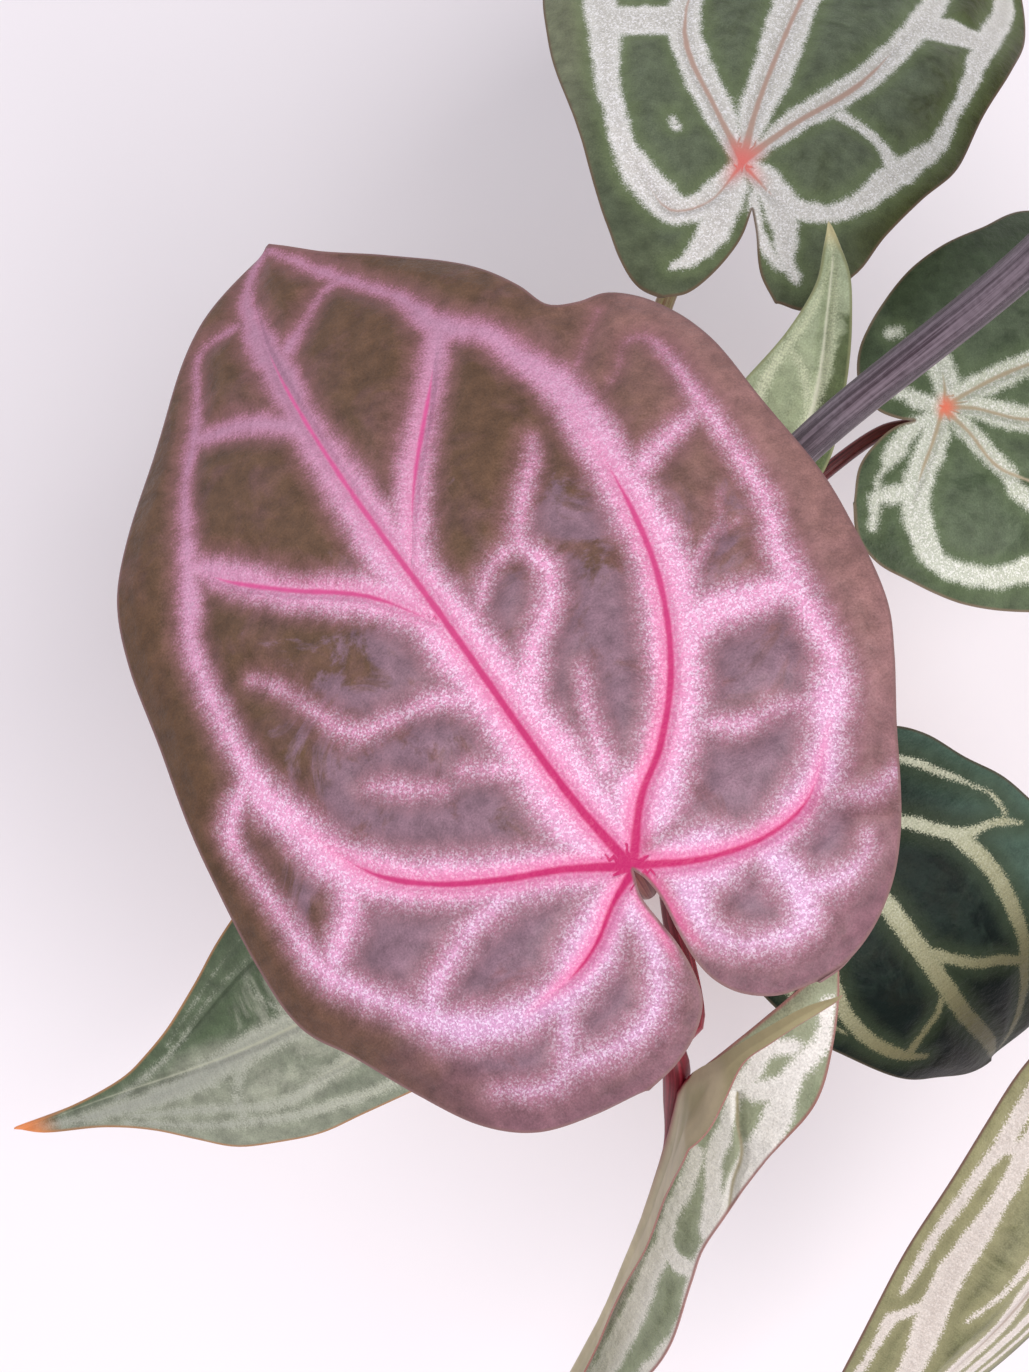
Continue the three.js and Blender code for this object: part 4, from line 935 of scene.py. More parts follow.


# Colours and finishes of each blade, with places along or across its sheet in mm. The share says how
# fully a colour covers what lies under it.
# skin: colours at the tip and the joint, and fade the stretch where one turns into the other
# flanks: start and end across the blade, colour and share. painted_sheen (patches of painted sheen): start
# and end, colour and share
# band: vein colours at the tip, the joint and on the lobes, and bright the stretch between the first two
# core: colours at the joint and far from it, and hot how far the first reaches. glow: share and colour
# painted_glint (painted glints on the veins), fringe, edge and tip: colour and share. fray: how ragged the
# veins' edges are
# soft: how soft these are at the tip and the joint. under: colours of the underside's skin, veins, ribs
LEAF_LOOKS = {
    "bronze": {
        # On this leaf the lighter mauve skin and pink-lilac veins towards the joint and on the lobes are
        # partly its own colour and partly painted sheen
        "skin": ("#614836", "#7b5660"), "fade": (95, -30),
        "flanks": [(34, 78, "#9a7270", 0.75), (-44, -74, "#5a412d", 0.85)],
        "band": ("#b2849e", "#de9dc2", "#cb9abf"), "bright": (150, 55), "painted_glint": ("#f6e8fb", 0.65),
        "core": ("#bb2064", "#d25c96"), "hot": 140, "glow": (0.65, "#e8609a"), "fringe": ("#8e6167", 0.55),
        "painted_sheen": (115, 45, "#876a79", 0.85), "edge": ("#b3738d", 0.75),
        "rim": "#80605f", "tip": ("#8c5f58", 0.1), "fray": 1, "soft": (1.2, 4), "sheen": 0.1,
        "gloss": 0.3, "under": ("#8c6a62", "#a9708a", "#8c3040"),
    },
    "rear": {
        "skin": ("#586350", "#58624a"), "fade": (120, 0),
        # The dark olive flank on this leaf's right margin is partly its own dark green and partly painted
        # shade on the drooping margin
        "flanks": [(27, 45, "#414620", 0.95), (-30, -60, "#7b8066", 0.8)],
        "band": ("#c9c8be", "#cfcec6", "#d2d0ca"), "bright": (160, 60), "painted_glint": ("#ffffff", 0.9),
        "core": ("#ec7f78", "#bea294"), "hot": 11, "glow": (0.8, "#f59a94"), "fringe": ("#76875c", 0.5),
        "painted_sheen": (150, 20, "#74806a", 0.35), "edge": ("#f6f7f1", 0.5),
        "rim": "#6d5a48", "tip": ("#7d7a5c", 0.1), "fray": 0.8, "soft": (0.8, 1), "sheen": 0.03,
        "gloss": 0.2, "under": ("#7f8d67", "#a6a98b", "#b9a98b"),
    },
    "right": {
        "skin": ("#505c47", "#485640"), "fade": (90, 0), "flanks": [(30, 60, "#5d6a4c", 0.5)],
        "band": ("#b4bba4", "#bdc3ae", "#c2c8b8"), "bright": (130, 50), "painted_glint": ("#fbfcf6", 0.75),
        "core": ("#ee8066", "#b3a68c"), "hot": 5, "glow": (0.8, "#f59a80"), "fringe": ("#6c7e58", 0.4),
        "painted_sheen": (120, 10, "#6f7c64", 0.4), "edge": ("#dfe5d2", 0.4),
        "rim": "#7a6a58", "tip": ("#7d7a5c", 0.1), "fray": 0.9, "soft": (0.9, 1.2), "sheen": 0.03,
        "gloss": 0.2, "under": ("#7f8d67", "#a6a98b", "#b9a98b"),
    },
    "rear_small": {
        "skin": ("#a6b292", "#9daa86"), "fade": (50, 0), "flanks": [(9, 11.5, "#56643f", 1)],
        "band": ("#c2cba8", "#d0d8b6", "#c6ceb0"), "bright": (40, 10), "painted_glint": ("#dbe2c6", 0.3),
        "core": ("#d3d8bb", "#d8dcc2"), "hot": 12, "glow": (0.1, "#c8c8a8"), "fringe": ("#a3ae8c", 0.1),
        "painted_sheen": (60, 0, "#b9c0a2", 0.2), "edge": ("#c8d0b2", 0.2),
        "rim": "#8b9068", "tip": ("#d8cfa0", 0.8), "fray": 0.5, "soft": (1.2, 1.2), "sheen": 0.03,
        "gloss": 0.25, "under": ("#98a07c", "#b9bc9c", "#b9bc9c"),
    },
    "left": {
        "skin": ("#858a78", "#737b68"), "fade": (90, 20), "flanks": [(-4, 3, "#4a5a3f", 1)],
        "band": ("#92958a", "#9fa394", "#a6a99c"), "bright": (100, 30), "painted_glint": ("#d2d6bd", 0.4),
        "core": ("#b4b69e", "#adb09a"), "hot": 60, "glow": (0.1, "#c8c8a8"), "fringe": ("#8c9080", 0.1),
        "painted_sheen": (120, 20, "#a0a492", 0.55), "edge": ("#c2c6b2", 0.3),
        "rim": "#a3764e", "tip": ("#e58b4c", 1), "fray": 1, "soft": (1.4, 1.4), "sheen": 0.03,
        "gloss": 0.45, "under": ("#8b9573", "#adb091", "#adb091"),
    },
    "dark": {
        # The lighter green flank on this leaf's left half is painted sheen
        "skin": ("#2a271c", "#0b1613"), "fade": (88, 60), "flanks": [(-14, -36, "#4a6053", 0.95)],
        "band": ("#716b4e", "#a3a384", "#c3c8b2"), "bright": (60, 12), "painted_glint": ("#d9dbc4", 0.4),
        "core": ("#b9b696", "#b0ae90"), "hot": 15, "glow": (0.1, "#c8c8a8"), "fringe": ("#3a4531", 0.6),
        "painted_sheen": (90, 10, "#54685a", 0.1), "edge": ("#6f7558", 0.3),
        "rim": "#4c4538", "tip": ("#333226", 0.6), "fray": 0.4, "soft": (0.5, 0.5), "sheen": 0,
        "gloss": 0.1, "under": ("#5f5a43", "#7d7a5c", "#7d7a5c"),
    },
    "folded": {
        "skin": ("#6d7558", "#8a8d72"), "fade": (50, 0), "flanks": [(-23, -27, "#7f8a6c", 0.7)],
        "band": ("#c6c3b3", "#d8d5ca", "#e0ddd6"), "bright": (100, 30), "painted_glint": ("#f6f4ee", 0.4),
        "core": ("#a39a7c", "#a8a088"), "hot": 60, "glow": (0.1, "#c8c8a8"), "fringe": ("#98a084", 0.75),
        "painted_sheen": (90, 10, "#a9ad98", 0.6), "edge": ("#f0eee8", 0.4),
        "rim": "#94625c", "tip": ("#7d4a48", 0.1), "fray": 0.7, "soft": (0.9, 0.9), "sheen": 0.03,
        "gloss": 0.3, "under": ("#a8a078", "#c8bc9c", "#8a1c2c"),
    },
    "corner": {
        "skin": ("#68694a", "#6b6c4b"), "fade": (120, 0), "flanks": [(16, 25, "#87855f", 0.8)],
        "band": ("#bdb3a9", "#c9bfb6", "#cfc6bc"), "bright": (140, 90), "painted_glint": ("#f4eee8", 0.35),
        "core": ("#a08c80", "#a99a8e"), "hot": 40, "glow": (0.1, "#c8c8a8"), "fringe": ("#a09c76", 0.6),
        "painted_sheen": (140, 10, "#9a9878", 0.4), "edge": ("#e4ddd4", 0.5),
        "rim": "#6b4a44", "tip": ("#6b4a44", 0.1), "fray": 0.5, "soft": (0.5, 0.5), "sheen": 0.03,
        "gloss": 0.25, "under": ("#8b8a68", "#a8a687", "#a8a687"),
    },
    "far_right": {
        "skin": ("#5b6650", "#566049"), "fade": (120, 0), "flanks": [(40, 60, "#42471f", 0.7)],
        "band": ("#c4c2b8", "#c9c8c0", "#ceccc6"), "bright": (160, 60), "painted_glint": ("#fbfbf6", 0.8),
        "core": ("#ec7f78", "#c0a79b"), "hot": 18, "glow": (0.6, "#f59a94"), "fringe": ("#7b8a58", 0.5),
        "painted_sheen": (150, 20, "#6d765c", 0.3), "edge": ("#f6f7f1", 0.5),
        "rim": "#6d5a48", "tip": ("#7d7a5c", 0.1), "fray": 0.8, "soft": (0.8, 1), "sheen": 0.03,
        "gloss": 0.2, "under": ("#7f8d67", "#a6a98b", "#b9a98b"),
    },
}


def leaf_places(add):
    """Sockets that say where a spot lies on its blade: on the sheet, from the joint, veins and rim."""
    spot = SimpleNamespace(sheet=add("ShaderNodeUVMap", uv_map="sheet"))
    spot.x, spot.y, _ = add("ShaderNodeSeparateXYZ", (spot.sheet,)).node.outputs
    spot.far = add("ShaderNodeVectorMath", (spot.sheet,), "Value", operation="LENGTH")
    spot.band, spot.flow, core, offset, half, spot.rim = (
        add("ShaderNodeAttribute", output="Fac", attribute_name=label) for label in MEASURES
    )
    # Close to a core, its width less the distance from its middle keeps it sharper than the grid
    distance = add("ShaderNodeMath", (offset,), operation="ABSOLUTE")
    sharp = add("ShaderNodeMath", (half, distance), operation="SUBTRACT")
    near = add("ShaderNodeMapRange", (core, -1.3, -0.7), **SMOOTH)
    spot.core = add("ShaderNodeMix", {0: near, 2: core, 3: sharp}, data_type="FLOAT")
    return spot


def add_patterns(add, spot):
    """Adds the noises of the living skin: bays, grains, clouds, fibres and pores, and the patches of painted
    sheen.

    Each noise has its size, detail, roughness and distortion.
    """
    noises = {
        "bays": (BAY_SIZE, 5, 0.62, 0),
        "grain": (GRAIN_SIZE, 2, 0.6, 0),
        "clouds": (CLOUD_SIZE, 5, 0.6, 0.6),
        "hazes": (SHEEN_PATCH_SIZE, 8, 0.68, 1.2),
    }
    for label, (size, detail, roughness, distortion) in noises.items():
        noise = add(
            "ShaderNodeTexNoise",
            {
                "Vector": spot.sheet, "Scale": sheet_scale(size), "Detail": detail, "Roughness": roughness,
                "Distortion": distortion,
            },
        )
        setattr(spot, label, noise)
    # Fibres run out of the veins
    fibre_place = add("ShaderNodeCombineXYZ", (spot.flow, spot.band))
    fibre_scale = (1 / FIBRE_WIDTH, 1 / FIBRE_LENGTH, 0)
    fibre_place = add("ShaderNodeVectorMath", (fibre_place, fibre_scale), operation="MULTIPLY")
    fibre_look = {"Vector": fibre_place, "Scale": 1, "Detail": 3, "Roughness": 0.65}
    spot.fibres = add("ShaderNodeTexNoise", fibre_look)
    spot.pores = add("ShaderNodeMapRange", (spot.grain, 0.3, 0.7, 0.83, 1.18))
    spot.ragged_core = add("ShaderNodeMath", (spot.bays, 0.5, spot.core), operation="MULTIPLY_ADD")


def vein_mask(add, spot, look, length):
    """How deep each spot lies in the frayed veins, in mm, and its share of vein."""
    fray = look["fray"]
    depth = spot.band
    middle = 0
    for noise, weight in ((spot.fibres, 2 * fray), (spot.bays, 3.6 * fray), (spot.grain, 3.4)):
        depth = add("ShaderNodeMath", (noise, weight, depth), operation="MULTIPLY_ADD")
        middle += weight / 2
    depth = add("ShaderNodeMath", (depth, middle), operation="SUBTRACT")
    softness = add("ShaderNodeMapRange", (spot.y, length, -0.1, *look["soft"]))
    share = add("ShaderNodeMath", (depth, softness), operation="DIVIDE")
    return depth, add("ShaderNodeMapRange", (share, -1, 1), **SMOOTH)


def skin_between_veins(add, spot, look, depth):
    """Skin colour: it turns along the blade and towards its flanks, in clouds, under patches of painted
    sheen.
    """
    # The skin turns from its tip colour to its joint colour; on the bronze leaf the lighter mauve near the
    # joint is partly painted sheen
    start, end = look["fade"]
    turn = add("ShaderNodeMapRange", (spot.y, start / SHEET_UNIT, end / SHEET_UNIT), **SMOOTH)
    cloud_turn = add("ShaderNodeMapRange", (spot.clouds, 0.3, 0.7, -0.35, 0.35), clamp=False)
    turn = add("ShaderNodeMath", (turn, cloud_turn), operation="ADD", use_clamp=True)
    tip_skin, joint_skin = map(linear, look["skin"])
    tone = add("ShaderNodeMix", {0: turn, 6: tip_skin, 7: joint_skin}, **COLOUR)
    # Flanks lay a colour towards one margin: on the rear leaf partly painted shade, on the dark leaf painted
    # sheen
    flank_way = add("ShaderNodeMath", (spot.clouds, FLANK_SHIFT, spot.x), operation="MULTIPLY_ADD")
    for start, end, colour, share in look["flanks"]:
        start = start / SHEET_UNIT + FLANK_SHIFT / 2
        end = end / SHEET_UNIT + FLANK_SHIFT / 2
        tone = lay_over(add, tone, linear(colour), flank_way, start, end, share)
    shade = add("ShaderNodeMapRange", (spot.bays, 0.3, 0.7, 0.7, 1.3))
    shades = add("ShaderNodeMath", (shade, spot.pores), operation="MULTIPLY")
    tone = add("ShaderNodeVectorMath", {0: tone, "Scale": shades}, operation="SCALE")
    # Painted sheen, the light thrown back by the quilted velvet: it has broken edges, lies more near the
    # joint and stays off the margin
    start, end, colour, share = look["painted_sheen"]
    reach = add("ShaderNodeMapRange", (spot.far, start / SHEET_UNIT, end / SHEET_UNIT, -0.1, 0.26), **SMOOTH)
    sheen_way = add("ShaderNodeMath", (spot.hazes, reach), operation="ADD")
    in_painted_sheen = add("ShaderNodeMapRange", (sheen_way, 0.6, 0.72, 0, share), **SMOOTH)
    off_margin = add("ShaderNodeMapRange", (spot.rim, 9, 15), **SMOOTH)
    painted_sheen = add("ShaderNodeMath", (in_painted_sheen, off_margin), operation="MULTIPLY")
    sheen_tone = add("ShaderNodeVectorMath", {0: linear(colour)[:3], "Scale": shades}, operation="SCALE")
    sheened = add("ShaderNodeMix", {0: painted_sheen, 6: tone, 7: sheen_tone}, **COLOUR)
    # A fringe 5 mm wide where skin meets vein
    colour, share = look["fringe"]
    return lay_over(add, sheened, linear(colour), depth, -5.5, -0.3, share)


def vein_colour(add, spot, look, depth):
    """Vein colour: one tone near the tip, one at the joint, one on the lobes, and painted glints on single
    cells.
    """
    # The veins lighten towards the joint and turn lilac on the lobes; on the bronze leaf this is partly
    # painted sheen
    start, end = look["bright"]
    bright = add("ShaderNodeMapRange", (spot.y, start / SHEET_UNIT, end / SHEET_UNIT), **SMOOTH)
    tip_tone, joint_tone, lobe_tone = map(linear, look["band"])
    tone = add("ShaderNodeMix", {0: bright, 6: tip_tone, 7: joint_tone}, **COLOUR)
    lobe_way = add("ShaderNodeMath", (spot.clouds, -0.4, spot.y), operation="MULTIPLY_ADD")
    tone = lay_over(add, tone, lobe_tone, lobe_way, 0.1, -0.35)
    colour, share = look["edge"]
    tone = lay_over(add, tone, linear(colour), depth, 3.6, -1, share)
    shade = add("ShaderNodeMapRange", (spot.fibres, 0.25, 0.75, 0.86, 1.1))
    shades = add("ShaderNodeMath", (shade, spot.pores), operation="MULTIPLY")
    tone = add("ShaderNodeVectorMath", {0: tone, "Scale": shades}, operation="SCALE")
    # Painted glints: each cell gets its own share of painted light, most towards the joint
    colour, share = look["painted_glint"]
    cells = add("ShaderNodeTexVoronoi", {"Vector": spot.sheet, "Scale": sheet_scale(CELL_SIZE)}, "Color")
    cell_tone = add("ShaderNodeSeparateColor", (cells,), "Red")
    painted_glints = add("ShaderNodeMapRange", (cell_tone, 0.45, 1, 0, share), **SMOOTH)
    reach = add("ShaderNodeMath", (bright, 2), operation="POWER")
    painted_glints = add("ShaderNodeMath", (painted_glints, reach), operation="MULTIPLY")
    return add("ShaderNodeMix", {0: painted_glints, 6: tone, 7: linear(colour)}, **COLOUR)


def add_sap(add, spot, look, veined):
    """Lays the sap colour along the cores and its glow beside them, strongest at the joint."""
    heat = add("ShaderNodeMapRange", (spot.far, 0, look["hot"] / SHEET_UNIT, 1, 0), **SMOOTH)
    joint_sap, far_sap = map(linear, look["core"])
    sap = add("ShaderNodeMix", {0: heat, 6: far_sap, 7: joint_sap}, **COLOUR)
    share, colour = look["glow"]
    glow = add("ShaderNodeMapRange", (spot.ragged_core, -3.6, 0.6, 0, share), **SMOOTH)
    glow = add("ShaderNodeMath", (glow, heat), operation="MULTIPLY")
    warmed = add("ShaderNodeMix", {0: glow, 6: veined, 7: linear(colour)}, **COLOUR)
    return lay_over(add, warmed, sap, spot.ragged_core, -0.25, 0.55)


def leaf_skin(name, look, strength):
    """Living velvet leaf: a matt skin of tiny domed cells, crossed by pale veins with painted glints.

    The domed cells give it a fine grain; painted glints stand for the silver sparkle of the air under the
    vein skin, whose silver frays out into fibres at the edges; and red sap shows through along the vein
    cores.
    """
    material, add, shader = new_material("velvet_leaf_" + name)
    length = LEAVES[name]["length"] / SHEET_UNIT
    spot = leaf_places(add)
    add_patterns(add, spot)
    depth, in_band = vein_mask(add, spot, look, length)
    skin = skin_between_veins(add, spot, look, depth)
    veins = vein_colour(add, spot, look, depth)
    veined = add("ShaderNodeMix", {0: in_band, 6: skin, 7: veins}, **COLOUR)
    cored = add_sap(add, spot, look, veined)
    # Coloured edge, about 1 mm wide, and coloured tip
    edged = lay_over(add, cored, linear(look["rim"]), spot.rim, 0.9, 0.2, 0.9)
    tip_colour, tip_share = look["tip"]
    tipped = lay_over(add, edged, linear(tip_colour), spot.y, 0.88 * length, 0.98 * length, tip_share)
    gloss = add("ShaderNodeMapRange", (in_band, 0, 1, 0.5, 0.42))
    # Sunk cores about 3 mm across, then puckers and grains
    sunk = add("ShaderNodeMapRange", (spot.ragged_core, -1.6, 0.5, 0, -1.2), **SMOOTH)
    puckered = add("ShaderNodeMath", (spot.bays, 1.6, sunk), operation="MULTIPLY_ADD")
    surface = add("ShaderNodeMath", (spot.grain, 0.12, puckered), operation="MULTIPLY_ADD")
    bump = add("ShaderNodeBump", {"Height": surface, "Strength": strength, "Distance": 1 * MM})
    finish = {
        "Base Color": tipped, "Roughness": gloss, "Specular IOR Level": look["gloss"],
        "Sheen Weight": look["sheen"], "Sheen Roughness": 0.35, "Normal": bump,
    }
    feed(shader, finish)
    return material


def leaf_underside(name, look):
    """Bare leaf underside: paler and smoother, with the ribs standing out and no sparkle."""
    material, add, shader = new_material("leaf_underside_" + name)
    spot = leaf_places(add)
    skin, vein, rib = map(linear, look["under"])
    near_vein = add("ShaderNodeMapRange", (spot.band, -3, 1, 0.1, 0.8), **SMOOTH)
    tone = add("ShaderNodeMix", {0: near_vein, 6: skin, 7: vein}, **COLOUR)
    scale = sheet_scale(UNDERSIDE_CLOUD_SIZE)
    clouds = add("ShaderNodeTexNoise", {"Vector": spot.sheet, "Scale": scale, "Detail": 5, "Roughness": 0.65})
    mottle = add("ShaderNodeMapRange", (clouds, 0.3, 0.7, 0.85, 1.12))
    tone = add("ShaderNodeVectorMath", {0: tone, "Scale": mottle}, operation="SCALE")
    # Ribs coloured like the petiole at the joint, over 60 mm
    near_joint = add("ShaderNodeMapRange", (spot.far, 0.6, 0.05), **SMOOTH)
    on_rib = add("ShaderNodeMapRange", (spot.core, -1.4, 0.2), **SMOOTH)
    share = add("ShaderNodeMath", (on_rib, near_joint), operation="MULTIPLY")
    ribbed = add("ShaderNodeMix", {0: share, 6: tone, 7: rib}, **COLOUR)
    bump = add("ShaderNodeBump", {"Height": clouds, "Strength": 0.3, "Distance": 0.4 * MM})
    feed(shader, {"Base Color": ribbed, "Roughness": 0.5, "Specular IOR Level": 0.3, "Normal": bump})
    return material


# Petioles


def sweep_tree():
    """Geometry nodes that sweep a round section along a path, from the foot radius to the top one."""
    inputs = {
        "Foot Radius": ("Float", 3 * MM), "Top Radius": ("Float", 2 * MM), "Foot Swelling": ("Float", 0.5),
        "Top Swelling": ("Float", 0.25), "Tail Length": ("Float", TAIL_LENGTH * MM),
        "Tail Share": ("Float", 0.15), "Steps": ("Int", 90), "Sides": ("Int", 28), "Skin": ("Material", None),
    }
    tree, given = new_geometry_tree("petiole_sweep", inputs)
    add = partial(add_node, tree)
    steps = add("GeometryNodeResampleCurve", {"Curve": given["Geometry"], "Count": given["Steps"]})
    position = add("GeometryNodeSplineParameter").node.outputs
    marks = {"data_type": "FLOAT", "domain": "POINT"}
    marked = add(
        "GeometryNodeStoreNamedAttribute",
        {"Geometry": steps, "Name": "along", "Value": position["Length"]}, **marks,
    )
    radius = add(
        "ShaderNodeMapRange", (position["Factor"], 0, 1, given["Foot Radius"], given["Top Radius"])
    )
    foot = add("ShaderNodeMapRange", (position["Factor"], 0.12, 0, 0, given["Foot Swelling"]), **SMOOTH)
    # How many tail lengths are left to the end: the knee swells before the last, the tail tapers in it
    total = add("GeometryNodeCurveLength", (steps,))
    left = add("ShaderNodeMath", (total, position["Length"]), operation="SUBTRACT")
    tails = add("ShaderNodeMath", (left, given["Tail Length"]), operation="DIVIDE")
    top = add("ShaderNodeMapRange", (tails, 1.9, 1.1, 0, given["Top Swelling"]), **SMOOTH)
    taper = add("ShaderNodeMapRange", (tails, 0, 1, given["Tail Share"], 1), **SMOOTH)
    swelling = add("ShaderNodeMath", (foot, top), operation="ADD")
    factor = add("ShaderNodeMath", (swelling, 1), operation="ADD")
    swollen = add("ShaderNodeMath", (radius, factor), operation="MULTIPLY")
    scale = add("ShaderNodeMath", (swollen, taper), operation="MULTIPLY")
    ring = add("GeometryNodeCurvePrimitiveCircle", {"Resolution": given["Sides"], "Radius": 1})
    around = add("GeometryNodeSplineParameter", output="Factor")
    ring_marked = add(
        "GeometryNodeStoreNamedAttribute", {"Geometry": ring, "Name": "around", "Value": around}, **marks
    )
    section = {"Curve": marked, "Profile Curve": ring_marked, "Scale": scale, "Fill Caps": True}
    tube = add("GeometryNodeCurveToMesh", section)
    smooth = add("GeometryNodeSetShadeSmooth", (tube,))
    real = add("GeometryNodeRealizeInstances", (smooth,))
    skinned = add("GeometryNodeSetMaterial", {"Geometry": real, "Material": given["Skin"]})
    add("NodeGroupOutput", (skinned,))
    return tree


def petiole_route(name):
    """The petiole's points in mm: from inside the stem to the joint, then as a rib below the blade."""
    radii, (direction, height), through = PETIOLES[name]
    leaf = LEAVES[name]
    turn = math.radians(direction)
    out = np.array([math.cos(turn), math.sin(turn), 0])
    start = out * STEM_RADIUS * FOOT_SHARE + (0, 0, height - FOOT_DEPTH)
    rising = out * (STEM_RADIUS + 2 * radii[0]) + (0, 0, height + FOOT_RISE)
    _, ahead, up = blade_axes(leaf)
    drop = KNEE_SAG + BLADE_THICKNESS + GROOVE + GAP + (1 + KNEE_SWELLING) * radii[1]
    end = np.array(leaf["joint"]) - up * drop
    before = end - KNEE_DROP * up - KNEE_BACK * ahead
    tail = [
        under_midrib(leaf, share * tail_length(name), GROOVE + GAP / 2 + depth * radii[1])
        for share, depth in TAIL_STEPS
    ]
    return [start, rising, *map(np.array, through), before, end, *tail]


def tail_length(name):
    """How far the petiole runs on as a rib under the blade, in mm."""
    return TAIL_LENGTHS.get(name, TAIL_LENGTH)


def under_midrib(leaf, y, depth):
    """The point that lies depth below the blade's underside at y on its midrib."""
    rib = np.array(leaf["midrib"], float)
    x = np.interp(y, rib[:, 1], rib[:, 0])
    return bend_sheet(leaf, np.array([x]), np.array([y]), -BLADE_THICKNESS - depth)[0]


def path_object(name, points):
    """A curve object of one poly spline through points in metres."""
    curve = bpy.data.curves.new(name, "CURVE")
    curve.dimensions = "3D"
    spline = curve.splines.new("POLY")
    spline.points.add(len(points) - 1)
    spline.points.foreach_set("co", np.column_stack([points, np.ones(len(points))]).ravel())
    return new_object(name, curve)


# The thin petioles' share of the thick grey one's wrinkles
THIN_WRINKLE = 0.3
# Dark and light colour of each petiole, and the name of its kind of skin
PETIOLE_LOOKS = {
    "bronze": ("#6a2f38", "#a06a5c", "petiole_red"),
    "rear": ("#7a5a3f", "#9a9068", "petiole_green"),
    "right": ("#3c0d13", "#7a2c30", "petiole_red"),
    "rear_small": ("#8d8458", "#a8a878", "petiole_green"),
    "left": ("#6e5a3a", "#8d8a5c", "petiole_green"),
    "dark": ("#4d4432", "#77744f", "petiole_green"),
    "folded": ("#6a101e", "#a03040", "petiole_red"),
    "corner": ("#6e5c3c", "#8d8a5c", "petiole_green"),
    "far_right": ("#43363f", "#877a84", "petiole_grey"),
}


def petiole_skin(name, dark, light, wrinkle):
    """Smooth plant skin over long fibres: satin, with fine streaks and wrinkles along its length."""
    material, add, shader = new_material("petiole_skin_" + name)
    length = add("ShaderNodeAttribute", output="Fac", attribute_name="along")
    turn = add("ShaderNodeAttribute", output="Fac", attribute_name="around")
    # Streaks about a twentieth of the way round wide and 80 mm long
    angle = add("ShaderNodeMath", (turn, 2 * math.pi), operation="MULTIPLY")
    sine, cosine = (add("ShaderNodeMath", (angle,), operation=way) for way in ("SINE", "COSINE"))
    drawn = add("ShaderNodeMath", (length, 1 / (250 * MM)), operation="MULTIPLY")
    wide = add("ShaderNodeCombineXYZ", (sine, cosine, drawn))
    streaks = add("ShaderNodeTexNoise", {"Vector": wide, "Scale": 3, "Detail": 7, "Roughness": 0.7})
    place = add("ShaderNodeTexCoord", output="Object")
    flecks = add("ShaderNodeTexNoise", {"Vector": place, "Scale": 1 / (1.6 * MM), "Detail": 4})
    both = add("ShaderNodeMath", (flecks, 0.12, streaks), operation="MULTIPLY_ADD")
    colour = lay_over(add, linear(dark), linear(light), both, 0.46, 0.68)
    bump = add("ShaderNodeBump", {"Height": both, "Strength": wrinkle, "Distance": 0.5 * MM})
    feed(shader, {"Base Color": colour, "Roughness": 0.42, "Specular IOR Level": 0.45, "Normal": bump})
    return material


# Stem

CROWN_SIDES = 64
CROWN_RINGS = 150
SCAR_SPACING = 5.5 * MM
SCAR_HEIGHT = 0.45 * MM
# Aerial roots: how many, their lowest level above the table and their radius in mm
ROOT_COUNT = 6
ROOT_LEVEL = 115
ROOT_RADIUS = 1.8
ROOT_SIDES = 16


def angles_round(count):
    """Evenly spaced angles once round."""
    return np.linspace(0, 2 * math.pi, count, endpoint=False)


def level_ring(radius, angles, level, centre=(0, 0)):
    """The points of one level ring."""
    x = centre[0] + radius * np.cos(angles)
    y = centre[1] + radius * np.sin(angles)
    return np.column_stack([x, y, np.broadcast_to(level, len(angles))])


def blunt(share, start, least):
    """Scales a radius: 1 as far as start, then down like a round end."""
    return math.sqrt(max(1 - max((share - start) / (1 - start), 0) ** 2, least))


def ring_mesh(name, stacks):
    """A mesh of one or more stacks of rings, each ring an array of points, joined in order and capped."""
    points, faces = [], []
    for rings in stacks:
        first = len(points)
        count = len(rings[0])
        for i in range(len(rings) - 1):
            low = first + i * count
            high = low + count
            for j in range(count):
                k = (j + 1) % count
                faces.append((low + j, low + k, high + k, high + j))
        last = first + (len(rings) - 1) * count
        faces.append(tuple(range(first + count - 1, first - 1, -1)))
        faces.append(tuple(range(last, last + count)))
        points.extend(np.vstack(rings).tolist())
    mesh = bpy.data.meshes.new(name)
    mesh.from_pydata(points, [], faces)
    mesh.polygons.foreach_set("use_smooth", [True] * len(mesh.polygons))
    mesh.update()
    return mesh


def crown_rings():
    """The crown's rings: leaf scars every few mm and a rough, slightly uneven outline."""
    low, high = (corner[2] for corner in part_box("stem"))
    draw = np.random.default_rng(3)
    phases = draw.uniform(0, 2 * math.pi, 5)
    angles = angles_round(CROWN_SIDES)
    rings = []
    for level in np.linspace(low, high, CROWN_RINGS):
        slant = level + 1.2 * MM * np.sin(angles + level / (9 * MM))
        scar = SCAR_HEIGHT * np.abs(np.sin(slant / SCAR_SPACING * math.pi)) ** 0.5
        waves = sum(np.sin((k + 2) * angles + phase + 40 * level) for k, phase in enumerate(phases))
        radius = (STEM_RADIUS - 0.6) * MM + scar + 0.125 * MM * waves
        radius *= blunt((level - low) / (high - low), 0.9, 0.02)
        rings.append(level_ring(radius, angles, level))
    return rings


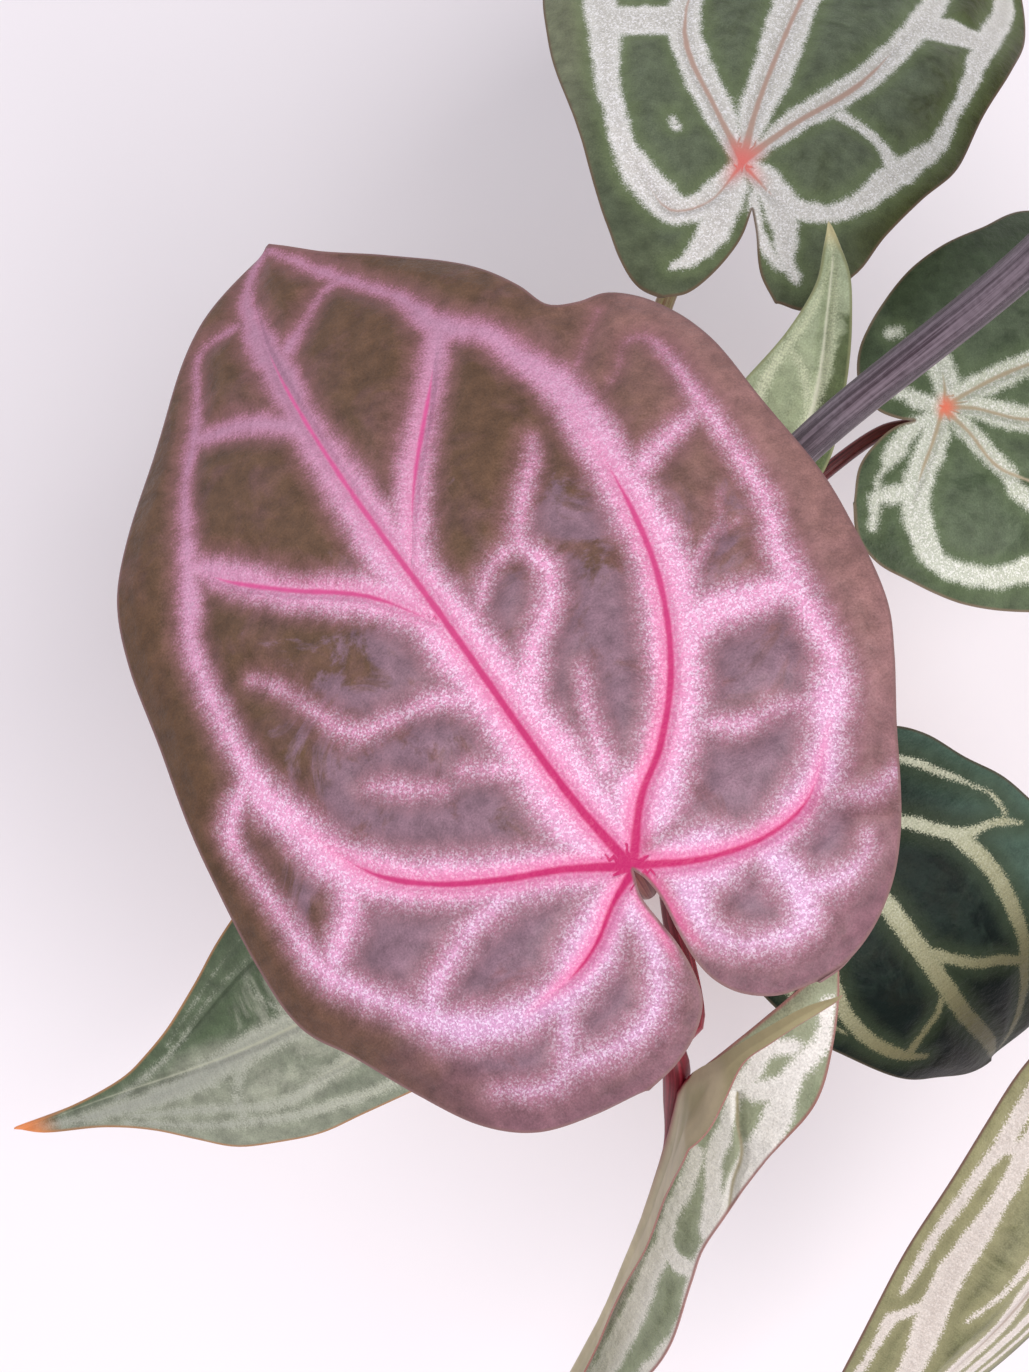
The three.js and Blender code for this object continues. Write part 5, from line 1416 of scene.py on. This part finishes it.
def root_rings(index):
    """One stubby aerial root: it leaves the crown sideways and turns down to a round, blunt end."""
    angle = 2 * math.pi * (index + 0.35) / ROOT_COUNT
    level = ROOT_LEVEL + 3 * (index % 3)
    spots = (
        (STEM_RADIUS - 3, angle, level),
        (STEM_RADIUS + 3, angle, level - 1),
        (STEM_RADIUS + 6, angle + 0.2, level - 5),
    )
    path = smooth_path([(r * math.cos(a), r * math.sin(a), z) for r, a, z in spots], 12) * MM
    angles = angles_round(ROOT_SIDES)[:, None]
    rings = []
    for step, (point, way) in enumerate(zip(path, np.gradient(path, axis=0))):
        share = step / (len(path) - 1)
        way = way / np.linalg.norm(way)
        side = np.cross((0, 0, 1), way)
        side = side / np.linalg.norm(side)
        radius = ROOT_RADIUS * MM * (1 - 0.35 * share + 0.06 * math.sin(9 * share)) * blunt(share, 0.8, 0.03)
        rings.append(point + radius * (np.cos(angles) * side + np.sin(angles) * np.cross(way, side)))
    return rings


def stem_skin():
    """Woody aroid crown: dull olive-brown bark with papery scars."""
    material, add, shader = new_material("crown_bark")
    place = add("ShaderNodeTexCoord", output="Object")
    spots = {"Vector": place, "Scale": 1 / (4 * MM), "Detail": 7, "Roughness": 0.7}
    mottle = add("ShaderNodeTexNoise", spots)
    colour = add("ShaderNodeValToRGB", (mottle,))
    tones = zip(colour.node.color_ramp.elements, (0.32, 0.68), ("#3a2c1c", "#8c7a50"))
    for element, position, tone in tones:
        element.position = position
        element.color = linear(tone)
    bump = add("ShaderNodeBump", {"Height": mottle, "Strength": 0.7, "Distance": 0.8 * MM})
    feed(shader, {"Base Color": colour, "Roughness": 0.8, "Normal": bump})
    return material


# Pot

POT_SIDES = 128
DRAIN_SIDES = 40
DRAIN_COUNT = 4
DRAIN_RADIUS = 5
DRAIN_RING_RADIUS = 26
# The section from the middle of the base, up the outside, over the rim and down the inside:
# radius, height and rounding of each corner in mm
POT_SECTION = [
    (0.5, 0, 0), (46, 0, 2), (61, 90, 1.5), (64.6, 90.5, 1), (65, 114.7, 2), (59.3, 114.7, 1.5), (43, 9, 3),
    (40, 6, 2), (0.5, 6, 0),
]


def rounded_section(corners, steps=6):
    """The corners' line with each corner replaced by a curve that starts its rounding away."""
    line = [np.array(corners[0][:2])]
    for before, corner, after in zip(corners, corners[1:], corners[2:]):
        middle = np.array(corner[:2])
        ends = []
        for other in (before, after):
            way = np.array(other[:2]) - middle
            ends.append(middle + way / np.linalg.norm(way) * corner[2])
        for t in np.linspace(0, 1, steps):
            line.append((1 - t) ** 2 * ends[0] + 2 * t * (1 - t) * middle + t**2 * ends[1])
    line.append(np.array(corners[-1][:2]))
    return line


def wheel_rings(section, sides, centre=(0, 0)):
    """Rings turned about an upright axis from a section in mm."""
    return [level_ring(r, angles_round(sides), z, centre) * MM for r, z in section]


def pot_mesh():
    """The turned pot with its drain holes cut through the base."""
    turned = ring_mesh("turned", [wheel_rings(rounded_section(POT_SECTION), POT_SIDES)])
    drills = []
    for i in range(DRAIN_COUNT):
        angle = 2 * math.pi * (i + 0.5) / DRAIN_COUNT
        centre = (DRAIN_RING_RADIUS * math.cos(angle), DRAIN_RING_RADIUS * math.sin(angle))
        drills.append(wheel_rings([(DRAIN_RADIUS, -2), (DRAIN_RADIUS, 9)], DRAIN_SIDES, centre))
    pot = new_object("turned", turned)
    drill = new_object("drills", ring_mesh("drills", drills))
    cut = pot.modifiers.new("holes", "BOOLEAN")
    cut.operation = "DIFFERENCE"
    cut.solver = "EXACT"
    cut.object = drill
    mesh = plain_mesh(pot, "clay_pot")
    bpy.data.objects.remove(drill)
    mesh.set_sharp_from_angle(angle=math.radians(40))
    return mesh


def clay():
    """Unglazed terracotta: a fired, sanded clay body with pale lime bloom and fine turning lines."""
    material, add, shader = new_material("terracotta_clay")
    place = add("ShaderNodeTexCoord", output="Object")
    clouds, sand = (
        add("ShaderNodeTexNoise", {"Vector": place, "Scale": 1 / size, "Detail": detail, "Roughness": rough})
        for size, detail, rough in ((22 * MM, 7, 0.62), (0.8 * MM, 3, 0.7))
    )
    tone = add("ShaderNodeMix", {0: clouds, 6: linear("#a2563a"), 7: linear("#c87f5e")}, **COLOUR)
    # Lime bloom near the damp foot and in patches, broken up by the sand
    height = add("ShaderNodeSeparateXYZ", (place,), "Z")
    damp = add("ShaderNodeMapRange", (height, 70 * MM, 0, 0, 0.35), **SMOOTH)
    patches = add("ShaderNodeMapRange", (clouds, 0.5, 0.72, 0, 0.6), **SMOOTH)
    bloom = add("ShaderNodeMath", (damp, patches), operation="ADD", use_clamp=True)
    speckle = add("ShaderNodeMath", (bloom, sand), operation="MULTIPLY")
    limed = add("ShaderNodeMix", {0: speckle, 6: tone, 7: linear("#e4cdbb")}, **COLOUR)
    bands = {"Vector": place, "Scale": 1 / (16 * MM), "Distortion": 1.5, "Detail": 2}
    lines = add("ShaderNodeTexWave", bands, "Fac", wave_type="BANDS", bands_direction="Z")
    surface = add("ShaderNodeMath", (lines, 0.25, sand), operation="MULTIPLY_ADD")
    bump = add("ShaderNodeBump", {"Height": surface, "Strength": 0.5, "Distance": 0.3 * MM})
    feed(shader, {"Base Color": limed, "Roughness": 0.88, "Normal": bump})
    return material


# Potting mix

# The plug of mix: the level of its edge, its play in the pot and how much narrower its foot is, in mm
MIX_LEVEL = 101
MIX_PLAY = 0.2
MIX_TAPER = 18
MIX_SIDES = 72
# Lumps on each square metre, and half length of each kind
STREWN = {"Bark": (5200, 4.2 * MM), "Perlite": (5200, 1.7 * MM), "Fines": (16000, 1.3 * MM)}


def chip_skin(name, dark, light, size):
    """Rough bark, or puffed perlite: broken, porous and dull."""
    material, add, shader = new_material(name)
    place = add("ShaderNodeTexCoord", output="Object")
    grain = add("ShaderNodeTexNoise", {"Vector": place, "Scale": 1 / size, "Detail": 6, "Roughness": 0.7})
    spread = add("ShaderNodeMapRange", (grain, 0.3, 0.7))
    colour = add("ShaderNodeMix", {0: spread, 6: linear(dark), 7: linear(light)}, **COLOUR)
    bump = add("ShaderNodeBump", {"Height": grain, "Strength": 0.8, "Distance": size})
    feed(shader, {"Base Color": colour, "Roughness": 0.9, "Normal": bump})
    return material


def chip_shape(name, seed, stretch, material):
    """One broken lump: an icosahedron pulled about, then flattened to the given stretch."""
    golden = (1 + math.sqrt(5)) / 2
    signs = list(itertools.product((-1, 1), repeat=2))
    base = np.array([np.roll((0, s, t * golden), -turn) for turn in range(3) for s, t in signs])
    draw = np.random.default_rng(seed)
    points = base / math.hypot(1, golden) * draw.uniform(0.75, 1.2, (12, 1)) * np.array(stretch)
    faces = []
    for a, b, c in itertools.combinations(range(12), 3):
        sides = [np.linalg.norm(base[p] - base[q]) for p, q in ((a, b), (b, c), (a, c))]
        if max(sides) < 2.1:
            out = np.cross(base[b] - base[a], base[c] - base[a]) @ base[a] > 0
            faces.append((a, b, c) if out else (a, c, b))
    mesh = bpy.data.meshes.new(name)
    mesh.from_pydata(points.tolist(), [], faces)
    mesh.materials.append(material)
    mesh.update()
    return bpy.data.objects.new(name, mesh)


def scatter_tree(kinds):
    """Geometry nodes that strew several kinds of lump over the faces that look up."""
    inputs = {}
    for label, (density, size) in STREWN.items():
        inputs[label + " Density"] = ("Float", density)
        inputs[label + " Size"] = ("Float", size)
    tree, given = new_geometry_tree("potting_mix_scatter", {**inputs, "Soil": ("Material", None)})
    add = partial(add_node, tree)
    up = add("ShaderNodeSeparateXYZ", (add("GeometryNodeInputNormal"),), "Z")
    faces_up = add("FunctionNodeCompare", (up, 0.6), data_type="FLOAT", operation="GREATER_THAN")
    heaps = [add("GeometryNodeSetMaterial", {"Geometry": given["Geometry"], "Material": given["Soil"]})]
    for seed, (label, shape, whirl) in enumerate(kinds, start=11):
        ground = {"Mesh": given["Geometry"], "Selection": faces_up, "Density": given[label + " Density"]}
        spots = add(
            "GeometryNodeDistributePointsOnFaces", {**ground, "Seed": seed}, distribute_method="RANDOM"
        )
        limits = {0: (-whirl, -whirl, 0), 1: (whirl, whirl, 2 * math.pi), "Seed": seed + 20}
        turns = add("FunctionNodeRandomValue", limits, data_type="FLOAT_VECTOR")
        sizes = add("FunctionNodeRandomValue", {2: 0.6, 3: 1.35, "Seed": seed + 40}, 1, data_type="FLOAT")
        scale = add("ShaderNodeMath", (sizes, given[label + " Size"]), operation="MULTIPLY")
        lump = add("GeometryNodeObjectInfo", {"Object": shape}, "Geometry")
        placed = {"Points": spots, "Instance": lump, "Rotation": turns, "Scale": scale}
        heaps.append(add("GeometryNodeInstanceOnPoints", placed))
    joined = add("GeometryNodeJoinGeometry")
    for heap in heaps:
        feed(joined.node, (heap,))
    add("NodeGroupOutput", (add("GeometryNodeRealizeInstances", (joined,)),))
    return tree


def soil_mesh():
    """The body of the mix: a plug that fills the pot, with a lumpy top."""
    low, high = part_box("potting_mix")
    radius = high[0] - MIX_PLAY * MM
    foot = radius - MIX_TAPER * MM
    level = MIX_LEVEL * MM
    angles = angles_round(MIX_SIDES)
    waves = np.random.default_rng(5).uniform(0, 2 * math.pi, (8, 2))
    rings = []
    for share in np.linspace(0, 1, 12):
        height = low[2] + (level - low[2]) * share
        rings.append(level_ring(foot + (radius - foot) * share, angles, height))
    for share in np.linspace(0.97, 0.02, 26):
        x, y, _ = level_ring(radius * share, angles, level).T
        lumps = sum(
            np.sin(x / MM / (4 + k) + a) * np.sin(y / MM / (3.5 + k) + b) for k, (a, b) in enumerate(waves)
        )
        rings.append(np.column_stack([x, y, level + (1 - share) * 2 * MM + 0.5 * MM * lumps]))
    return ring_mesh("soil", [rings])


# Settings


class PlantLeafSettings(bpy.types.PropertyGroup):
    """How the leaves are finished."""

    skin_relief: bpy.props.FloatProperty(
        name="Skin Relief", description="Strength of the fine bumps on the leaf skin", default=0.55,
        min=0, max=1,
    )


class PlantPetioleSettings(bpy.types.PropertyGroup):
    """Sizes of the petioles' sweep."""

    sides: bpy.props.IntProperty(
        name="Sides", description="Points round each petiole", default=28, min=8, max=64
    )
    steps: bpy.props.IntProperty(
        name="Steps", description="Rings along each petiole", default=110, min=20, max=300
    )
    wrinkle: bpy.props.FloatProperty(
        name="Wrinkle", description="Strength of the wrinkles along the thick grey petiole", default=0.8,
        min=0, max=1,
    )


class PlantMixSettings(bpy.types.PropertyGroup):
    """Sizes of the pieces in the potting mix."""

    bark_size: bpy.props.FloatProperty(
        name="Bark Size", description="Half length of a bark chip", default=STREWN["Bark"][1], unit="LENGTH"
    )
    perlite_size: bpy.props.FloatProperty(
        name="Perlite Size", description="Half width of a perlite grain", default=STREWN["Perlite"][1],
        unit="LENGTH",
    )


class PlantStageSettings(bpy.types.PropertyGroup):
    """The floor and the light."""

    floor_colour: bpy.props.FloatVectorProperty(
        name="Floor Colour", description="Colour of the plain floor", subtype="COLOR", size=4,
        default=linear("#f4f0f4"), min=0, max=1,
    )
    floor_size: bpy.props.FloatProperty(
        name="Floor Size", description="Width of the square floor", default=6, unit="LENGTH"
    )
    key_power: bpy.props.FloatProperty(
        name="Key Power", description="Power of the main soft light in watts", default=30, min=0
    )
    sky_strength: bpy.props.FloatProperty(
        name="Sky Strength", description="Strength of the even light from all round", default=0.58, min=0
    )


# Operators


class PLANT_OT_stage(bpy.types.Operator):
    """Makes the camera, the floor and the lights"""

    bl_idname = "plant.stage"
    bl_label = "Build Stage"

    def execute(self, context):
        settings = context.scene.plant_stage
        self.make_camera(context)
        self.make_floor(settings)
        self.make_lights(context, settings)
        context.scene.view_settings.view_transform = "Standard"
        return {"FINISHED"}

    def make_camera(self, context):
        data = bpy.data.cameras.new("camera")
        data.sensor_width = 36
        data.lens = data.sensor_width * PHOTO_FOCAL / PHOTO_HEIGHT
        camera = new_object("camera", data)
        camera.location = CAMERA_PLACE
        camera.rotation_euler = (math.radians(CAMERA_TILT), 0, 0)
        context.scene.camera = camera

    def make_floor(self, settings):
        half = settings.floor_size / 2
        mesh = bpy.data.meshes.new("floor")
        corners = [(-half, -half, 0), (half, -half, 0), (half, half, 0), (-half, half, 0)]
        mesh.from_pydata(corners, [], [(0, 1, 2, 3)])
        material, _, shader = new_material("matt_paper")
        feed(shader, {"Base Color": settings.floor_colour, "Roughness": 0.9, "Specular IOR Level": 0.2})
        mesh.materials.append(material)
        new_object("floor", mesh)

    def make_lights(self, context, settings):
        world = bpy.data.worlds.new("soft_room")
        world.use_nodes = True
        sky = {"Color": linear("#f8f5fa"), "Strength": settings.sky_strength}
        feed(world.node_tree.nodes["Background"], sky)
        context.scene.world = world
        lamps = (
            ("key_light", (0.6, -0.75, 1.8), 1.3, settings.key_power, "#fffafb"),
            ("fill_light", (-1.3, 0.9, 1.4), 1.4, 0.2 * settings.key_power, "#f6f6ff"),
        )
        for name, place, size, power, colour in lamps:
            data = bpy.data.lights.new(name, "AREA")
            data.size = size
            data.energy = power
            data.color = linear(colour)[:3]
            lamp = new_object(name, data)
            lamp.location = place
            # Aimed at a point 0.2 m above the table
            x, y, z = np.array([0, 0, 0.2]) - np.array(place)
            lamp.rotation_euler = (math.atan2(math.hypot(x, y), -z), 0, math.atan2(y, x) - math.pi / 2)


class PLANT_OT_blades(bpy.types.Operator):
    """Makes the nine leaf blades with their veins, ribs and skins"""

    bl_idname = "plant.blades"
    bl_label = "Build Blades"

    def execute(self, context):
        relief = context.scene.plant_leaf.skin_relief
        for name, leaf in LEAVES.items():
            look = LEAF_LOOKS[name]
            skins = [leaf_skin(name, look, relief), leaf_underside(name, look)]
            mesh = make_blade(name, leaf, skins)
            finish_piece("leaf_" + name, mesh, [], ["blade_" + name])
        return {"FINISHED"}


class PLANT_OT_petioles(bpy.types.Operator):
    """Sweeps the nine petioles from the stem to their blades"""

    bl_idname = "plant.petioles"
    bl_label = "Build Petioles"

    def execute(self, context):
        settings = context.scene.plant_petiole
        tree = sweep_tree()
        for name, (radii, *_) in PETIOLES.items():
            dark, light, slot = PETIOLE_LOOKS[name]
            wrinkle = settings.wrinkle * (1 if name == "far_right" else THIN_WRINKLE)
            skin = petiole_skin(name, dark, light, wrinkle)
            path = path_object("path_" + name, smooth_path(petiole_route(name)) * MM)
            sizes = {
                "Foot Radius": radii[0] * MM, "Top Radius": radii[1] * MM,
                "Foot Swelling": FOOT_SWELLING, "Top Swelling": KNEE_SWELLING,
                "Tail Length": tail_length(name) * MM, "Steps": settings.steps, "Sides": settings.sides,
            }
            put_tree(path, tree, {**sizes, "Skin": skin})
            mesh = plain_mesh(path, "stalk_" + name)
            finish_piece("stalk_" + name, mesh, [skin], ["petiole_" + name])
        return {"FINISHED"}


class PLANT_OT_stem(bpy.types.Operator):
    """Makes the crown with its stubby aerial roots"""

    bl_idname = "plant.stem"
    bl_label = "Build Stem"

    def execute(self, context):
        mesh = ring_mesh("crown", [crown_rings(), *map(root_rings, range(ROOT_COUNT))])
        finish_piece("crown", mesh, [stem_skin()], ["stem"])
        return {"FINISHED"}


class PLANT_OT_potting_mix(bpy.types.Operator):
    """Fills the pot with soil and strews bark and perlite over it"""

    bl_idname = "plant.potting_mix"
    bl_label = "Build Potting Mix"

    def execute(self, context):
        settings = context.scene.plant_mix
        bark = chip_skin("pine_bark", "#2e1c10", "#7d5334", 2.5 * MM)
        perlite = chip_skin("perlite", "#cfcac0", "#f4f2ea", 1 * MM)
        soil = chip_skin("coir_and_fines", "#1d130c", "#4a3524", 1.5 * MM)
        kinds = [
            ("Bark", chip_shape("bark_chip", 1, (1, 0.62, 0.42), bark), 0.5),
            ("Perlite", chip_shape("perlite_grain", 2, (1, 0.9, 0.8), perlite), 1.5),
            ("Fines", chip_shape("fine_chip", 3, (1, 0.6, 0.5), soil), 1.5),
        ]
        plug = new_object("plug", soil_mesh())
        sizes = {"Bark Size": settings.bark_size, "Perlite Size": settings.perlite_size}
        put_tree(plug, scatter_tree(kinds), {**sizes, "Soil": soil})
        mesh = plain_mesh(plug, "mix")
        for _, shape, _ in kinds:
            bpy.data.objects.remove(shape)
        finish_piece("mix", mesh, [], ["potting_mix"])
        return {"FINISHED"}


class PLANT_OT_pot(bpy.types.Operator):
    """Turns the clay pot and drills its drain holes"""

    bl_idname = "plant.pot"
    bl_label = "Build Pot"

    def execute(self, context):
        finish_piece("clay_pot", pot_mesh(), [clay()], ["pot"])
        return {"FINISHED"}


class PLANT_PT_panel(bpy.types.Panel):
    """Lists the plant's settings and operators"""

    bl_idname = "PLANT_PT_panel"
    bl_label = "Potted Anthurium"
    bl_space_type = "VIEW_3D"
    bl_region_type = "UI"
    bl_category = "Plant"

    def draw(self, context):
        for group, names in (
            (context.scene.plant_leaf, ("skin_relief",)),
            (context.scene.plant_petiole, ("sides", "steps", "wrinkle")),
            (context.scene.plant_mix, ("bark_size", "perlite_size")),
            (context.scene.plant_stage, ("floor_colour", "floor_size", "key_power", "sky_strength")),
        ):
            for name in names:
                self.layout.prop(group, name)
        for operator in OPERATORS:
            self.layout.operator(operator.bl_idname)


OPERATORS = (
    PLANT_OT_stage,
    PLANT_OT_blades,
    PLANT_OT_petioles,
    PLANT_OT_stem,
    PLANT_OT_potting_mix,
    PLANT_OT_pot,
)
SETTINGS = {
    "plant_leaf": PlantLeafSettings,
    "plant_petiole": PlantPetioleSettings,
    "plant_mix": PlantMixSettings,
    "plant_stage": PlantStageSettings,
}


def register():
    """Adds the settings, operators and panel."""
    for cls in (*SETTINGS.values(), *OPERATORS, PLANT_PT_panel):
        bpy.utils.register_class(cls)
    for name, cls in SETTINGS.items():
        setattr(bpy.types.Scene, name, bpy.props.PointerProperty(type=cls))


def unregister():
    """Removes them again."""
    for name in SETTINGS:
        delattr(bpy.types.Scene, name)
    for cls in reversed((*SETTINGS.values(), *OPERATORS, PLANT_PT_panel)):
        bpy.utils.unregister_class(cls)


def main():
    """Registers the add-on and makes every piece in order."""
    register()
    bpy.ops.plant.stage()
    bpy.ops.plant.blades()
    bpy.ops.plant.petioles()
    bpy.ops.plant.stem()
    bpy.ops.plant.potting_mix()
    bpy.ops.plant.pot()


if __name__ == "__main__":
    main()
